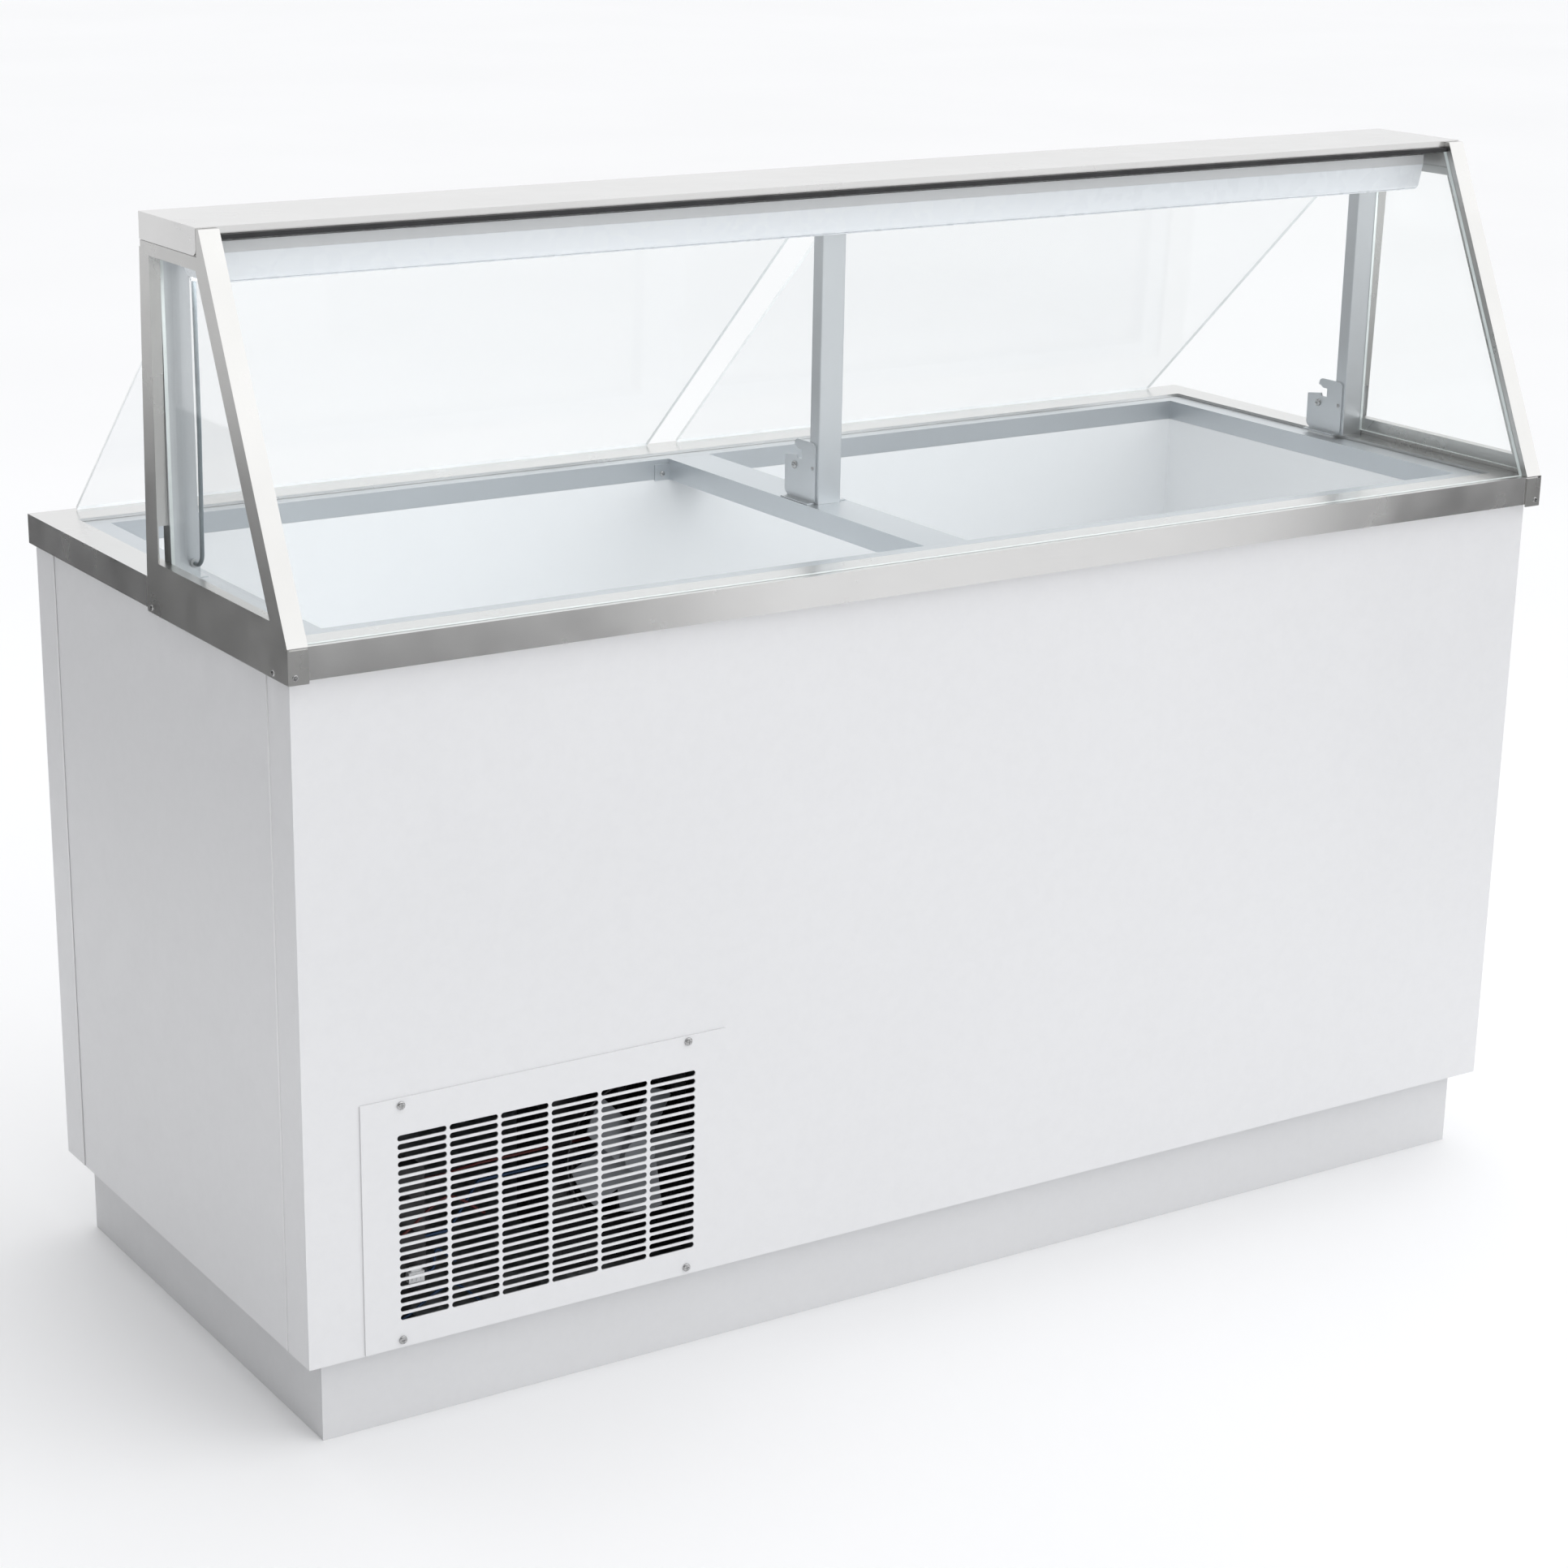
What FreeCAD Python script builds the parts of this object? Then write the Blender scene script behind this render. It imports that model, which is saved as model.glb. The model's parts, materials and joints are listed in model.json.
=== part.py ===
"""Ice-cream dipping cabinet: a low chest freezer with two wells under a glazed sneeze guard.

Millimetres. +X is the customer's right, the customer stands at -Y, +Z is up.
The origin is on the floor, at the middle of the cabinet's footprint.
"""
import FreeCAD, Part
import math
import os

V = FreeCAD.Vector

# ---- driving dimensions -------------------------------------------------------------------
HALF_WIDTH = 890.0          # over the end frames
HALF_DEPTH = 370.0          # counter's rear edge, and the screw heads in front
HEIGHT = 1346.0             # top of the canopy
PLINTH_HEIGHT = 104.0
COUNTER_TOP = 938.0
COUNTER_EDGE = 36.0         # height of the counter's rolled edge
SHEET = 1.2                 # stainless and painted sheet
FIT = 0.2                   # gap left between pieces that only rest against each other
SCREW_HEAD = 1.2            # height of the low heads on the end frames

# ---- body ---------------------------------------------------------------------------------
BODY_X = 881.0
BODY_FRONT = -351.0
BODY_REAR = 365.0
BODY_TOP = 930.0
WRAP = 56.0                 # how far the front and rear panels wrap round the corners
PLINTH_X = 856.0
PLINTH_FRONT = -328.0
PLINTH_REAR = 343.0
PLINTH_FLANGE = 25.0
PAN_TOP = PLINTH_HEIGHT + 2.0

# ---- counter and well openings --------------------------------------------------------------
COUNTER_X = HALF_WIDTH - 2.0
FRAME_FRONT = SCREW_HEAD - HALF_DEPTH
COUNTER_FRONT = FRAME_FRONT + 2.0
COUNTER_UNDER = COUNTER_TOP - COUNTER_EDGE
LEDGE_TOP = COUNTER_TOP - 4.0
LEDGE_X = 846.0
LEDGE_FRONT = -322.0
LEDGE_REAR = 312.0
WELL_X = 814.0
WELL_Y = 290.0
COLLAR_BOTTOM = 908.0
DIVIDER_HALF = 31.0

# ---- tank ---------------------------------------------------------------------------------
LINER = 1.5
TANK_FLOOR = 170.0
STEP_FLOOR = 480.0          # shallower floor above the machine bay
STEP_X = -270.0

# ---- machine bay ----------------------------------------------------------------------------
BAY_RIGHT = -332.0
BAY_TOP = 420.0
VENT_LEFT = -812.0
VENT_RIGHT = -339.0
VENT_BOTTOM = 105.0
VENT_TOP = 408.0
SLOT_COLUMNS = 6
SLOT_ROWS = 22
SLOT_LENGTH = 61.5
SLOT_HEIGHT = 7.1
SLOT_PITCH_X = 65.2
SLOT_PITCH_Z = 10.4
SLOT_FIRST_X = -736.5       # centre of the first column
SLOT_FIRST_Z = 141.5        # centre of the lowest row
VENT_SCREWS = ((-762.0, 399.0), (-390.0, 401.0), (-765.0, 114.0), (-390.0, 114.0))
SCREW_INSET = 9.0           # from the rear cover's edges to its screws
FAN_X = -430.0
FAN_Z = 252.0
FAN_RADIUS = 84.0
FAN_Y = -298.0
SHROUD_HALF = 92.0

# ---- guard ----------------------------------------------------------------------------------
FRAME_THICK = 13.0
SLOPE_WIDTH = 24.0          # width of the sloped front member
SLOPE_DEPTH = 28.0          # depth of the sloped member, across its length
SLOPE_RETURN = 14.0         # depth of its inner side
CANOPY_SEAM = 0.6           # between the canopy's skirt and the end frames
SLOPE_FOOT = (FRAME_FRONT, COUNTER_TOP - 2.0)
SLOPE_HEAD = (-178.0, HEIGHT)
SILL_TOP = 960.0
WINDOW_TOP = 1301.0
FRAME_REAR_FOOT = 0.0
FRAME_REAR_HEAD = -19.0
SKIRT_BOTTOM = 899.0
FRAME_STEP = 8.0            # how far below the canopy's skirt the frame's rear edge steps in
FRAME_FOLD = 1.6            # sheet left at the rear upright, which is folded and open inside
POST_WIDTH = 34.0
POST_FRONT = -42.0
POST_REAR = -21.6
SIDE_POST_OUTER = HALF_WIDTH - FRAME_THICK - 0.3
CANOPY_FRONT = -171.0
CANOPY_REAR = -20.0
CANOPY_SKIRT = 1316.0
CANOPY_LIP = 8.0            # height of the lip above the gasket
LIGHT_FRONT = -138.0
LIGHT_REAR = -62.0
LIGHT_BOTTOM = 1280.0
LIGHT_TOP = 1325.0
LIGHT_X = 862.0
HOUSING_SKIRT = 12.0
LAMP_CABLE_X = -850.0
LAMP_CABLE_Y = -64.0

# ---- lids -----------------------------------------------------------------------------------
HINGE_Y = -12.0
HINGE_Z = 1302.0
PIN_RADIUS = 3.0
BARREL_RADIUS = 5.0
LID_OFFSET = 8.0            # from the hinge line to the middle of the pane
LID_THICK = 4.0
LID_INNER = 23.0
LID_OUTER = 829.0
LID_ANGLE = math.radians(43.3)
LID_LENGTH = 519.6          # from the foot of the hinge line to the lower edge
CLIP_WIDTH = 60.0


# ---- screw heads --------------------------------------------------------------------------------
DOME_SHARE = 0.7            # of the head's height
RECESS_SHARE = 0.55         # of the head's radius
RECESS_WIDTH = 0.7
RECESS_DEPTH = 0.8
PANEL_GAP = 0.4             # between a side panel and the wraps beside it


# ---- shape helpers ----------------------------------------------------------------------------
def box(x0, x1, y0, y1, z0, z1):
    return Part.makeBox(x1 - x0, y1 - y0, z1 - z0, V(x0, y0, z0))


def prism_x(points, x0, x1):
    """A (y, z) outline stretched along X from x0 to x1."""
    loop = [V(x0, y, z) for y, z in points]
    face = Part.Face(Part.makePolygon(loop + [loop[0]]))
    return face.extrude(V(x1 - x0, 0, 0))


def prism_y(points, y0, y1):
    """An (x, z) outline stretched along Y from y0 to y1."""
    loop = [V(x, y0, z) for x, z in points]
    face = Part.Face(Part.makePolygon(loop + [loop[0]]))
    return face.extrude(V(0, y1 - y0, 0))


def rod(start, direction, radius, length):
    return Part.makeCylinder(radius, length, V(*start), V(*direction))


def ring(start, direction, outer, inner, length):
    return rod(start, direction, outer, length).cut(rod(start, direction, inner, length))


def mirror_x(shape):
    return shape.mirror(V(0, 0, 0), V(1, 0, 0))


def group(shapes):
    return Part.makeCompound(shapes)


def pan_head_screw(tip, direction, head_radius=5.0, head_height=2.4):
    """A domed screw head with a cross recess: `tip` is under the head, `direction` points out of it."""
    out = V(*direction).normalize()
    base = V(*tip)
    head = Part.makeCylinder(head_radius, head_height)
    rims = [e for e in head.Edges if e.CenterOfMass.z > head_height * 0.9]
    head = head.makeFillet(head_height * DOME_SHARE, rims)
    reach = head_radius * RECESS_SHARE
    drive = Part.makeBox(2 * reach, RECESS_WIDTH, RECESS_DEPTH,
                         V(-reach, -RECESS_WIDTH / 2, head_height - RECESS_DEPTH))
    cross = drive.copy()
    cross.rotate(V(0, 0, 0), V(0, 0, 1), 90)
    head = head.cut([drive, cross])
    head.Placement = FreeCAD.Placement(base, FreeCAD.Rotation(V(0, 0, 1), out))
    return head


def bent_tube(points, bend, radius):
    """A round tube along straight runs joined by tangent arcs of radius `bend`."""
    corners = [V(*p) for p in points]
    edges = []
    start = corners[0]
    for before, here, after in zip(corners, corners[1:], corners[2:]):
        u = (before - here).normalize()
        w = (after - here).normalize()
        half = math.acos(max(-1.0, min(1.0, u.dot(w)))) / 2
        leg = bend / math.tan(half)
        enter = here + u * leg
        leave = here + w * leg
        bisector = (u + w).normalize()
        middle = here + bisector * (bend / math.sin(half) - bend)
        edges.append(Part.LineSegment(start, enter).toShape())
        edges.append(Part.Arc(enter, middle, leave).toShape())
        start = leave
    edges.append(Part.LineSegment(start, corners[-1]).toShape())
    path = Part.Wire(edges)
    first = (corners[1] - corners[0]).normalize()
    profile = Part.Wire([Part.makeCircle(radius, corners[0], first)])
    tube = path.makePipeShell([profile], True, True)
    expected = math.pi * radius ** 2 * path.Length
    print("tube length %.0f mm, volume ratio %.4f" % (path.Length, tube.Volume / expected))
    return tube


def slope_y(z, inward=0.0):
    """Y on the sloped front plane at height z, moved inward at right angles to the plane."""
    run = SLOPE_HEAD[0] - SLOPE_FOOT[0]
    rise = SLOPE_HEAD[1] - SLOPE_FOOT[1]
    return SLOPE_FOOT[0] + (z - SLOPE_FOOT[1]) * run / rise + inward * math.hypot(run, rise) / rise


def frame_rear_y(z):
    """Y of the end frame's rear edge at height z."""
    share = (z - SKIRT_BOTTOM) / (CANOPY_SKIRT - SKIRT_BOTTOM)
    return FRAME_REAR_FOOT + share * (FRAME_REAR_HEAD - FRAME_REAR_FOOT)


def lid_point(along, above):
    """(y, z) of a point `along` the closed lid from the hinge foot, `above` its middle plane."""
    down = math.sin(LID_ANGLE)
    out = math.cos(LID_ANGLE)
    y = HINGE_Y - LID_OFFSET * down + along * out + above * down
    z = HINGE_Z - LID_OFFSET * out - along * down + above * out
    return (y, z)


def rounded_slot(x, z, y0, y1, length=SLOT_LENGTH, height=SLOT_HEIGHT):
    """A slot along X with half-round ends, cut through from y0 to y1."""
    reach = length / 2
    half = reach - height / 2
    low = z - height / 2
    high = z + height / 2
    edges = [
        Part.LineSegment(V(x - half, y0, low), V(x + half, y0, low)).toShape(),
        Part.Arc(V(x + half, y0, low), V(x + reach, y0, z), V(x + half, y0, high)).toShape(),
        Part.LineSegment(V(x + half, y0, high), V(x - half, y0, high)).toShape(),
        Part.Arc(V(x - half, y0, high), V(x - reach, y0, z), V(x - half, y0, low)).toShape(),
    ]
    return Part.Face(Part.Wire(edges)).extrude(V(0, y1 - y0, 0))


def slot_field(first_x, first_z, columns, rows, y0, y1):
    return group([
        rounded_slot(first_x + i * SLOT_PITCH_X, first_z + j * SLOT_PITCH_Z, y0, y1)
        for i in range(columns) for j in range(rows)
    ])


# ---- plinth and base -------------------------------------------------------------------------
PLINTH_SHEET = 1.5
PAN_SHEET = 1.0
PAN_EDGE = 20.0


def plinth_front():
    wall = box(-PLINTH_X, PLINTH_X, PLINTH_FRONT, PLINTH_FRONT + PLINTH_SHEET, 0, PLINTH_HEIGHT)
    foot = box(-PLINTH_X, PLINTH_X, PLINTH_FRONT, PLINTH_FRONT + PLINTH_FLANGE, 0, PLINTH_SHEET)
    head = box(-PLINTH_X, PLINTH_X, PLINTH_FRONT, PLINTH_FRONT + PLINTH_FLANGE,
               PLINTH_HEIGHT - PLINTH_SHEET, PLINTH_HEIGHT)
    return wall.fuse([foot, head]).removeSplitter()


def plinth_rear():
    shape = plinth_front().mirror(V(0, 0, 0), V(0, 1, 0))
    shape.translate(V(0, PLINTH_REAR + PLINTH_FRONT, 0))
    return shape


def plinth_right():
    front = PLINTH_FRONT + PLINTH_FLANGE + FIT
    rear = PLINTH_REAR - PLINTH_FLANGE - FIT
    inner = PLINTH_X - PLINTH_FLANGE
    wall = box(PLINTH_X - PLINTH_SHEET, PLINTH_X, PLINTH_FRONT + PLINTH_SHEET + FIT,
               PLINTH_REAR - PLINTH_SHEET - FIT, PLINTH_SHEET + FIT, PLINTH_HEIGHT - PLINTH_SHEET - FIT)
    foot = box(inner, PLINTH_X, front, rear, 0, PLINTH_SHEET)
    head = box(inner, PLINTH_X, front, rear, PLINTH_HEIGHT - PLINTH_SHEET, PLINTH_HEIGHT)
    edge = box(PLINTH_X - PLINTH_SHEET, PLINTH_X, front, rear, 0, PLINTH_HEIGHT)
    return wall.fuse([foot, head, edge]).removeSplitter()


def plinth_left():
    return mirror_x(plinth_right())


def base_pan():
    """Floor of the body, with turned-up edges."""
    x = BODY_X - SHEET - 2 * PANEL_GAP
    front = BODY_FRONT + SHEET + FIT
    rear = BODY_REAR - SHEET - FIT
    pan = box(-x, x, front, rear, PLINTH_HEIGHT, PAN_TOP + PAN_EDGE)
    s = PAN_SHEET
    hollow = box(-x + s, x - s, front + s, rear - s, PAN_TOP, PAN_TOP + 2 * PAN_EDGE)
    return pan.cut(hollow)


# ---- outer panels ------------------------------------------------------------------------------
def wrapped_panel(y_face, y_return):
    """A sheet across the whole width whose ends fold back to y_return along both sides."""
    low = min(y_face, y_return)
    high = max(y_face, y_return)
    outer = box(-BODY_X, BODY_X, low, high, PLINTH_HEIGHT, BODY_TOP)
    if y_face < y_return:
        inner = box(-BODY_X + SHEET, BODY_X - SHEET, low + SHEET, high + 1, PLINTH_HEIGHT - 1, BODY_TOP + 1)
    else:
        inner = box(-BODY_X + SHEET, BODY_X - SHEET, low - 1, high - SHEET, PLINTH_HEIGHT - 1, BODY_TOP + 1)
    return outer.cut(inner)


def front_panel():
    panel = wrapped_panel(BODY_FRONT, BODY_FRONT + WRAP)
    window = box(VENT_LEFT + WINDOW_INSET, VENT_RIGHT - WINDOW_INSET, BODY_FRONT - 1, BODY_FRONT + 2,
                 VENT_BOTTOM + WINDOW_INSET, VENT_TOP - WINDOW_INSET)
    return panel.cut(window)


WINDOW_INSET = 22.0         # from a vent cover's edge to the opening behind it
CONTROL_X = (-700.0, -440.0)
CONTROL_Z = (330.0, 392.0)
REAR_VENT_X = (-760.0, -460.0)
REAR_VENT_Z = (116.0, 300.0)


def rear_panel():
    panel = wrapped_panel(BODY_REAR, BODY_REAR - WRAP)
    control = box(CONTROL_X[0], CONTROL_X[1], BODY_REAR - 2, BODY_REAR + 1, CONTROL_Z[0], CONTROL_Z[1])
    vent = box(REAR_VENT_X[0] + WINDOW_INSET, REAR_VENT_X[1] - WINDOW_INSET, BODY_REAR - 2, BODY_REAR + 1,
               REAR_VENT_Z[0] + WINDOW_INSET, REAR_VENT_Z[1] - WINDOW_INSET)
    return panel.cut(control).cut(vent)


def right_panel():
    end_gap = 2 * PANEL_GAP
    return box(BODY_X - SHEET - PANEL_GAP, BODY_X - PANEL_GAP, BODY_FRONT + WRAP + end_gap,
               BODY_REAR - WRAP - end_gap, PLINTH_HEIGHT, BODY_TOP)


def left_panel():
    return mirror_x(right_panel())


# ---- tank, foam and evaporator ------------------------------------------------------------------
def tank_outline(grow, mouth=COLLAR_BOTTOM):
    """(x, z) outline of the stepped tank up to `mouth`, grown outward by `grow`."""
    return [
        (-WELL_X - grow, mouth),
        (-WELL_X - grow, STEP_FLOOR - grow),
        (STEP_X - grow, STEP_FLOOR - grow),
        (STEP_X - grow, TANK_FLOOR - grow),
        (WELL_X + grow, TANK_FLOOR - grow),
        (WELL_X + grow, mouth),
    ]


def liner():
    x = WELL_X + LINER_FLANGE
    y = WELL_Y + LINER_FLANGE
    outer = prism_y(tank_outline(LINER), -WELL_Y - LINER, WELL_Y + LINER)
    flange = box(-x, x, -y, y, COLLAR_BOTTOM - LINER, COLLAR_BOTTOM)
    inner = prism_y(tank_outline(0, COLLAR_BOTTOM + 1), -WELL_Y, WELL_Y)
    return outer.fuse(flange).cut(inner).removeSplitter()


LINER_FLANGE = 14.0
COIL_RECESS = 12.0
COIL_MARGIN = 20.0
COIL_ROWS = 6
FOAM_GAP = 1.0              # between the foam and the sheet outside it
COIL_X = (-760.0, 760.0)
COIL_Z = (560.0, 860.0)
COIL_RADIUS = 4.0


def coil_recess(side):
    """Room between the liner and the foam for the pipes on the front (-1) or rear (+1) wall."""
    near = WELL_Y + LINER - 1
    far = WELL_Y + LINER + COIL_RECESS
    y0, y1 = (near, far) if side > 0 else (-far, -near)
    return box(COIL_X[0] - COIL_MARGIN, COIL_X[1] + COIL_MARGIN, y0, y1,
               COIL_Z[0] - COIL_MARGIN, COIL_Z[1] + COIL_MARGIN)


def insulation():
    """Foam between the outer panels and the tank, cut back round the machine bay."""
    x = BODY_X - SHEET - 2 * PANEL_GAP - PAN_SHEET - PANEL_GAP
    front = BODY_FRONT + SHEET + PANEL_GAP + FOAM_GAP
    rear = BODY_REAR - SHEET - PANEL_GAP - FOAM_GAP
    clear = LINER + FIT
    body = box(-x, x, front, rear, PAN_TOP + FIT, COLLAR_BOTTOM - clear)
    tank = prism_y(tank_outline(clear, COLLAR_BOTTOM + 50), -WELL_Y - clear, WELL_Y + clear)
    bay = box(-BODY_X, BAY_RIGHT + SHEET + FIT, BODY_FRONT, BODY_REAR, 0, BAY_TOP + SHEET + FIT)
    return body.cut([tank, bay, coil_recess(-1), coil_recess(1)])


def evaporator(side):
    """A flat serpentine of pipe on the tank's front (-1) or rear (+1) wall."""
    y = side * (WELL_Y + LINER + COIL_RADIUS + 1.0)
    pitch = (COIL_Z[1] - COIL_Z[0]) / (COIL_ROWS - 1)
    points = []
    for row in range(COIL_ROWS):
        z = COIL_Z[0] + row * pitch
        ends = COIL_X if row % 2 == 0 else COIL_X[::-1]
        points.append((ends[0], y, z))
        points.append((ends[1], y, z))
    return bent_tube(points, pitch * 0.45, COIL_RADIUS)


def bay_lining():
    """Folded sheet that closes the machine bay off from the foam."""
    front = BODY_FRONT + SHEET + 2
    rear = BODY_REAR - SHEET - 2
    top = box(-BODY_X + SHEET + 3, BAY_RIGHT + SHEET, front, rear, BAY_TOP, BAY_TOP + SHEET)
    side = box(BAY_RIGHT, BAY_RIGHT + SHEET, front, rear, PAN_TOP + FIT, BAY_TOP + SHEET)
    return top.fuse(side).removeSplitter()


# ---- machine bay --------------------------------------------------------------------------------
COMPRESSOR_X = -640.0
COMPRESSOR_Y = 130.0
COMPRESSOR_R = 82.0
SEAM_REACH = 4.3            # from the can's side to a pipe's end, past the welded seam
PIPE_Z = PAN_TOP + 144.0


def compressor():
    """Hermetic can with a welded seam, on a pressed foot plate."""
    z0 = PAN_TOP + 14
    can = Part.makeCylinder(COMPRESSOR_R, 168, V(COMPRESSOR_X, COMPRESSOR_Y, z0 + 4))
    can = can.makeFillet(34, [e for e in can.Edges if isinstance(e.Curve, Part.Circle)])
    seam = Part.makeCylinder(COMPRESSOR_R + 4, 5, V(COMPRESSOR_X, COMPRESSOR_Y, z0 + 92))
    plate = box(COMPRESSOR_X - 95, COMPRESSOR_X + 95, COMPRESSOR_Y - 70, COMPRESSOR_Y + 70, z0, z0 + 5)
    holes = [Part.makeCylinder(6.5, 20, V(x, y, z0 - 5)) for x, y in compressor_feet()]
    terminal = box(COMPRESSOR_X - 26, COMPRESSOR_X + 26, COMPRESSOR_Y - COMPRESSOR_R - 22,
                   COMPRESSOR_Y - COMPRESSOR_R + 10, z0 + 50, z0 + 84)
    return can.fuse([seam, plate, terminal]).cut(holes).removeSplitter()


def compressor_feet():
    return [(COMPRESSOR_X + sx * 82, COMPRESSOR_Y + sy * 58) for sx in (-1, 1) for sy in (-1, 1)]


def compressor_grommets():
    """Rubber mounts with a groove that grips the foot plate."""
    feet = []
    for x, y in compressor_feet():
        lower = Part.makeCylinder(11, 13.8, V(x, y, PAN_TOP + FIT))
        waist = Part.makeCylinder(6.3, 5.6, V(x, y, PAN_TOP + 13.8))
        upper = Part.makeCylinder(9.5, 5, V(x, y, PAN_TOP + 19.2))
        feet.append(lower.fuse([waist, upper]).removeSplitter())
    return group(feet)


FIN_PITCH = 7.0
FIN_THICK = 1.2
CONDENSER_Y = (-238.0, -178.0)
CONDENSER_X = (FAN_X - SHROUD_HALF, FAN_X + SHROUD_HALF)
CONDENSER_Z = (FAN_Z - 112.0, FAN_Z + 112.0)


def condenser():
    """Fin block between two end plates."""
    x0, x1 = CONDENSER_X
    y0, y1 = CONDENSER_Y
    z0, z1 = CONDENSER_Z
    end = 1.5
    edge = 2.0
    core = box(x0 + end, x1 - end, y0 + 3 * edge, y1 - 3 * edge, z0 + 2 * edge, z1 - 2 * edge)
    plates = [box(x0, x0 + end, y0, y1, z0, z1), box(x1 - end, x1, y0, y1, z0, z1)]
    count = int((x1 - x0 - FIN_PITCH) / FIN_PITCH)
    first = (x0 + x1 - FIN_PITCH * (count - 1)) / 2
    fins = [box(first + i * FIN_PITCH - FIN_THICK / 2, first + i * FIN_PITCH + FIN_THICK / 2,
                y0 + edge, y1 - edge, z0 + edge, z1 - edge) for i in range(count)]
    return core.fuse(plates + fins).removeSplitter()


WIRE_Y = FAN_Y + 41.0
WIRE_ENDS = (FAN_Z - 12.0, FAN_Z + 10.0)
WIRE_RADIUS = 1.6


def fan_shroud():
    """Square plate with a round mouth, standing on the base pan in front of the condenser."""
    x0, x1 = CONDENSER_X
    plate = box(x0, x1, FAN_Y + 34, FAN_Y + 35.5, PAN_TOP + FIT, CONDENSER_Z[1])
    foot = box(x0, x1, FAN_Y + 20, FAN_Y + 35.5, PAN_TOP + FIT, PAN_TOP + FIT + 1.5)
    mouth = rod((FAN_X, FAN_Y + 60, FAN_Z), (0, -1, 0), FAN_RADIUS + 3, 80)
    collar = ring((FAN_X, FAN_Y + 35.5, FAN_Z), (0, -1, 0), FAN_RADIUS + 4.5, FAN_RADIUS + 3, 32)
    sides = [box(x0, x0 + 1.5, FAN_Y + 34, CONDENSER_Y[0] - FIT, CONDENSER_Z[0], CONDENSER_Z[1]),
             box(x1 - 1.5, x1, FAN_Y + 34, CONDENSER_Y[0] - FIT, CONDENSER_Z[0], CONDENSER_Z[1])]
    holes = [rod((x0 - 2, WIRE_Y, z), (1, 0, 0), 3 * WIRE_RADIUS, 6) for z in WIRE_ENDS]
    return plate.cut(mouth).fuse([foot, collar] + sides).cut(holes).removeSplitter()


SPINDLE_RADIUS = 3.0
MOTOR_RADIUS = 27.0
ARM_HALF = 6.0
HUB_RADIUS = 21.0
BLADES = 5
BLADE_PITCH = 24.0
BLADE_CHORD = 50.0


def fan_motor():
    """Round motor on a four-armed bracket that spans the shroud's mouth, with its spindle."""
    y_back = FAN_Y + 20
    can = rod((FAN_X, y_back, FAN_Z), (0, 1, 0), MOTOR_RADIUS, 28)
    reach = FAN_RADIUS + 10
    arms = [box(FAN_X - reach, FAN_X + reach, y_back + 8, y_back + 10, FAN_Z - ARM_HALF, FAN_Z + ARM_HALF),
            box(FAN_X - ARM_HALF, FAN_X + ARM_HALF, y_back + 8, y_back + 10, FAN_Z - reach, FAN_Z + reach)]
    spindle = rod((FAN_X, FAN_Y - 12, FAN_Z), (0, 1, 0), SPINDLE_RADIUS, 34)
    clear = ring((FAN_X, y_back - 1, FAN_Z), (0, 1, 0), 2 * reach, FAN_RADIUS + 2.4, 14)
    arms = [arm.cut(clear) for arm in arms]
    return can.fuse(arms + [spindle]).removeSplitter()


def fan_blade():
    """Hub with pitched blades, turning on the motor's spindle."""
    hub = rod((FAN_X, FAN_Y - 14, FAN_Z), (0, 1, 0), HUB_RADIUS, 30)
    bore = rod((FAN_X, FAN_Y - 13, FAN_Z), (0, 1, 0), SPINDLE_RADIUS + 0.06, 30)
    blades = []
    for i in range(BLADES):
        root = HUB_RADIUS - 4
        blade = Part.makeBox(FAN_RADIUS - root, 2.0, BLADE_CHORD, V(root, -1.0, -BLADE_CHORD / 2))
        blade.rotate(V(0, 0, 0), V(1, 0, 0), BLADE_PITCH)
        blade = blade.common(rod((0, -30, 0), (0, 1, 0), FAN_RADIUS - 4, 60))
        blade.rotate(V(0, 0, 0), V(0, 1, 0), 360 / BLADES * i + 10)
        blade.translate(V(FAN_X, FAN_Y + 1, FAN_Z))
        blades.append(blade)
    return hub.fuse(blades).cut(bore).removeSplitter()


def filter_drier():
    """Copper canister with drawn ends."""
    x, y, z = -420.0, -60.0, 330.0
    body = rod((x, y, z), (0, 1, 0), 10, 90)
    body = body.makeFillet(8, [e for e in body.Edges if isinstance(e.Curve, Part.Circle)])
    ends = rod((x, y - 15, z), (0, 1, 0), 3, 120)
    return body.fuse(ends).removeSplitter()


def discharge_pipe():
    """From the top of the compressor to the condenser's inlet."""
    start_x = COMPRESSOR_X + COMPRESSOR_R + SEAM_REACH
    x = start_x + 60
    rear_y = CONDENSER_Y[1] + 40
    points = [(start_x, COMPRESSOR_Y, PIPE_Z), (x, COMPRESSOR_Y, PIPE_Z), (x, 30, PIPE_Z), (x, 30, 360),
              (x, rear_y, 360), (x, rear_y, 340), (x, CONDENSER_Y[1] + FIT, 340)]
    return bent_tube(points, 9.0, 3.0)


def suction_pipe():
    """Large-bore return from the foam down to the compressor."""
    start_x = COMPRESSOR_X - COMPRESSOR_R - SEAM_REACH
    x = start_x - 50
    y = COMPRESSOR_Y + 60
    points = [(start_x, COMPRESSOR_Y, PIPE_Z), (x, COMPRESSOR_Y, PIPE_Z), (x, y, PIPE_Z), (x, y, BAY_TOP - FIT)]
    return bent_tube(points, 18.0, 4.0)


ELECTRIC_X = (-800.0, -712.0)
ELECTRIC_Y = (-322.0, -276.0)
ELECTRIC_Z = (150.0, 300.0)


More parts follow.
